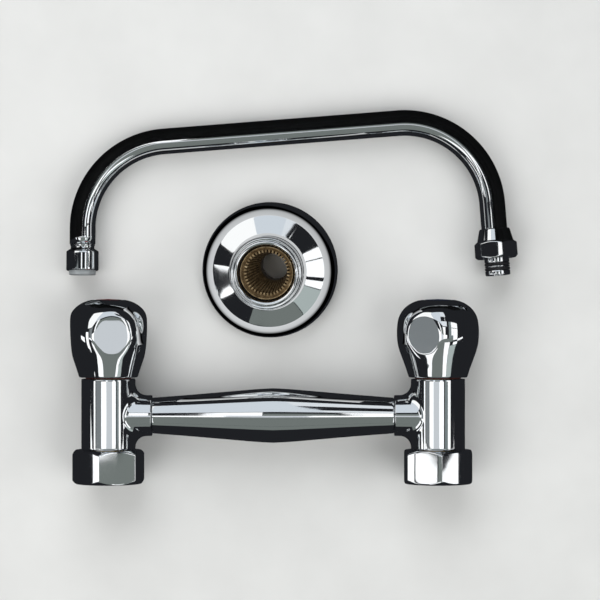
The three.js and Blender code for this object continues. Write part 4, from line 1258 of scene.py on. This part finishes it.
# %% Black card
card_black = material("black_card", Base_Color=linear("#0b0b0c"), Roughness=0.9)[0]
CARD_SECTION = ((12.5, -6), (12.5, 14), (7, 26), (-1.5, 34))  # outwards and up from the tube's line
card_rows = []
for (x, y), across in stations:
    # The direction across points to the inside of the bends, so the outside is its negative.
    inward = across if across @ (np.array([-SPOUT_REACH / 2, 40.0]) - (x, y)) > 0 else -across
    card_rows.append(
        [
            (x - out * inward[0], y - out * inward[1], up)
            for out, up in CARD_SECTION
        ]
    )
card_data = bpy.data.meshes.new("black_card")
card_data.from_pydata(
    [tuple(v * MM for v in p) for row in card_rows for p in row], [],
    grid_faces(len(card_rows), len(CARD_SECTION), wrap_columns=False)
)
card_data.transform(spout_frame)
card_data.materials.append(card_black)
card = bpy.data.objects.new("black_card", card_data)
bpy.context.scene.collection.objects.link(card)
card.visible_camera = card.visible_diffuse = card.visible_shadow = card.visible_transmission = False
print("card of", len(card_rows), "strips")

# %% [markdown]
# The rim of the flange turns down towards the surface, where a studio is dark. A soft white ring round
# it, bright at its upper edge and fading downwards, gives the rim a gentle gradient. It shines inwards
# only, and only the chrome can see it.

# %% Soft ring
SOFT_RING_R = 68.0
RING_LOW, RING_HIGH = -34.0, 13.0
DARK_BELOW = -18.0  # the glow starts here
soft = bpy.data.materials.new("soft_ring")
soft.use_nodes = True
tree = soft.node_tree
tree.nodes.remove(tree.nodes["Principled BSDF"])
level = add(
    tree, "ShaderNodeSeparateXYZ", links={"Vector": add(tree, "ShaderNodeTexCoord").outputs["Object"]}
)
glow_strength = spread(tree, level.outputs["Z"], DARK_BELOW * MM, RING_HIGH * MM, 0.0, 0.88)
glow = add(tree, "ShaderNodeEmission", {"Color": linear("#ffffff")}, {"Strength": glow_strength})
clear = add(tree, "ShaderNodeBsdfTransparent")
one_side = add(
    tree, "ShaderNodeMixShader",
    links={
        0: add(tree, "ShaderNodeNewGeometry").outputs["Backfacing"], 1: glow.outputs[0], 2: clear.outputs[0]
    }
)
tree.links.new(one_side.outputs[0], tree.nodes["Material Output"].inputs["Surface"])
ring_data = bpy.data.meshes.new("soft_ring")
turns = np.linspace(0, 2 * math.pi, 96, endpoint=False)
r = SOFT_RING_R * MM
ring_points = [
    (r * math.cos(a), r * math.sin(a), z) for z in (RING_LOW * MM, RING_HIGH * MM) for a in turns
]
ring_data.from_pydata(ring_points, [], [tuple(reversed(f)) for f in grid_faces(2, 96)])
ring_data.materials.append(soft)
ring = bpy.data.objects.new("soft_ring", ring_data)
# A mirror turns light by twice its own lean, so the ring leans twice as much as the flange.
lean_once = Vector((0, 0, 1)).rotation_difference(flange_axis)
ring.matrix_world = Matrix.LocRotScale(flange_origin + Vector((0, 0, 22 * MM)), lean_once @ lean_once, None)
bpy.context.scene.collection.objects.link(ring)
ring.visible_camera = ring.visible_diffuse = ring.visible_shadow = ring.visible_transmission = False
print("ring", SOFT_RING_R, "mm in radius")

# %% Surroundings
world = bpy.data.worlds.new("studio")
bpy.context.scene.world = world
world.use_nodes = True
tree = world.node_tree
seen = add(tree, "ShaderNodeLightPath")
dark, pale = (
    add(tree, "ShaderNodeBackground", {"Color": linear(c), "Strength": 1.0}) for c in ("#232427", "#d6d7d8")
)
mixed = add(tree, "ShaderNodeMixShader", links={"Fac": seen.outputs["Is Camera Ray"]})
tree.links.new(dark.outputs[0], mixed.inputs[1])
tree.links.new(pale.outputs[0], mixed.inputs[2])
tree.links.new(mixed.outputs[0], tree.nodes["World Output"].inputs["Surface"])
print("surroundings", world.name)

# %% Camera
CAMERA_HEIGHT, FRAME_WIDTH, LEVEL = 1.6, 0.370, 0.0255
lens = bpy.data.cameras.new("camera")
lens.lens = lens.sensor_width * (CAMERA_HEIGHT - LEVEL) / FRAME_WIDTH
camera = bpy.data.objects.new("camera", lens)
camera.location = (0.0051, -0.0025, CAMERA_HEIGHT)
bpy.context.scene.collection.objects.link(camera)
bpy.context.scene.camera = camera
bpy.context.scene.view_settings.view_transform = "Standard"
print("lens", round(lens.lens, 1), "mm")
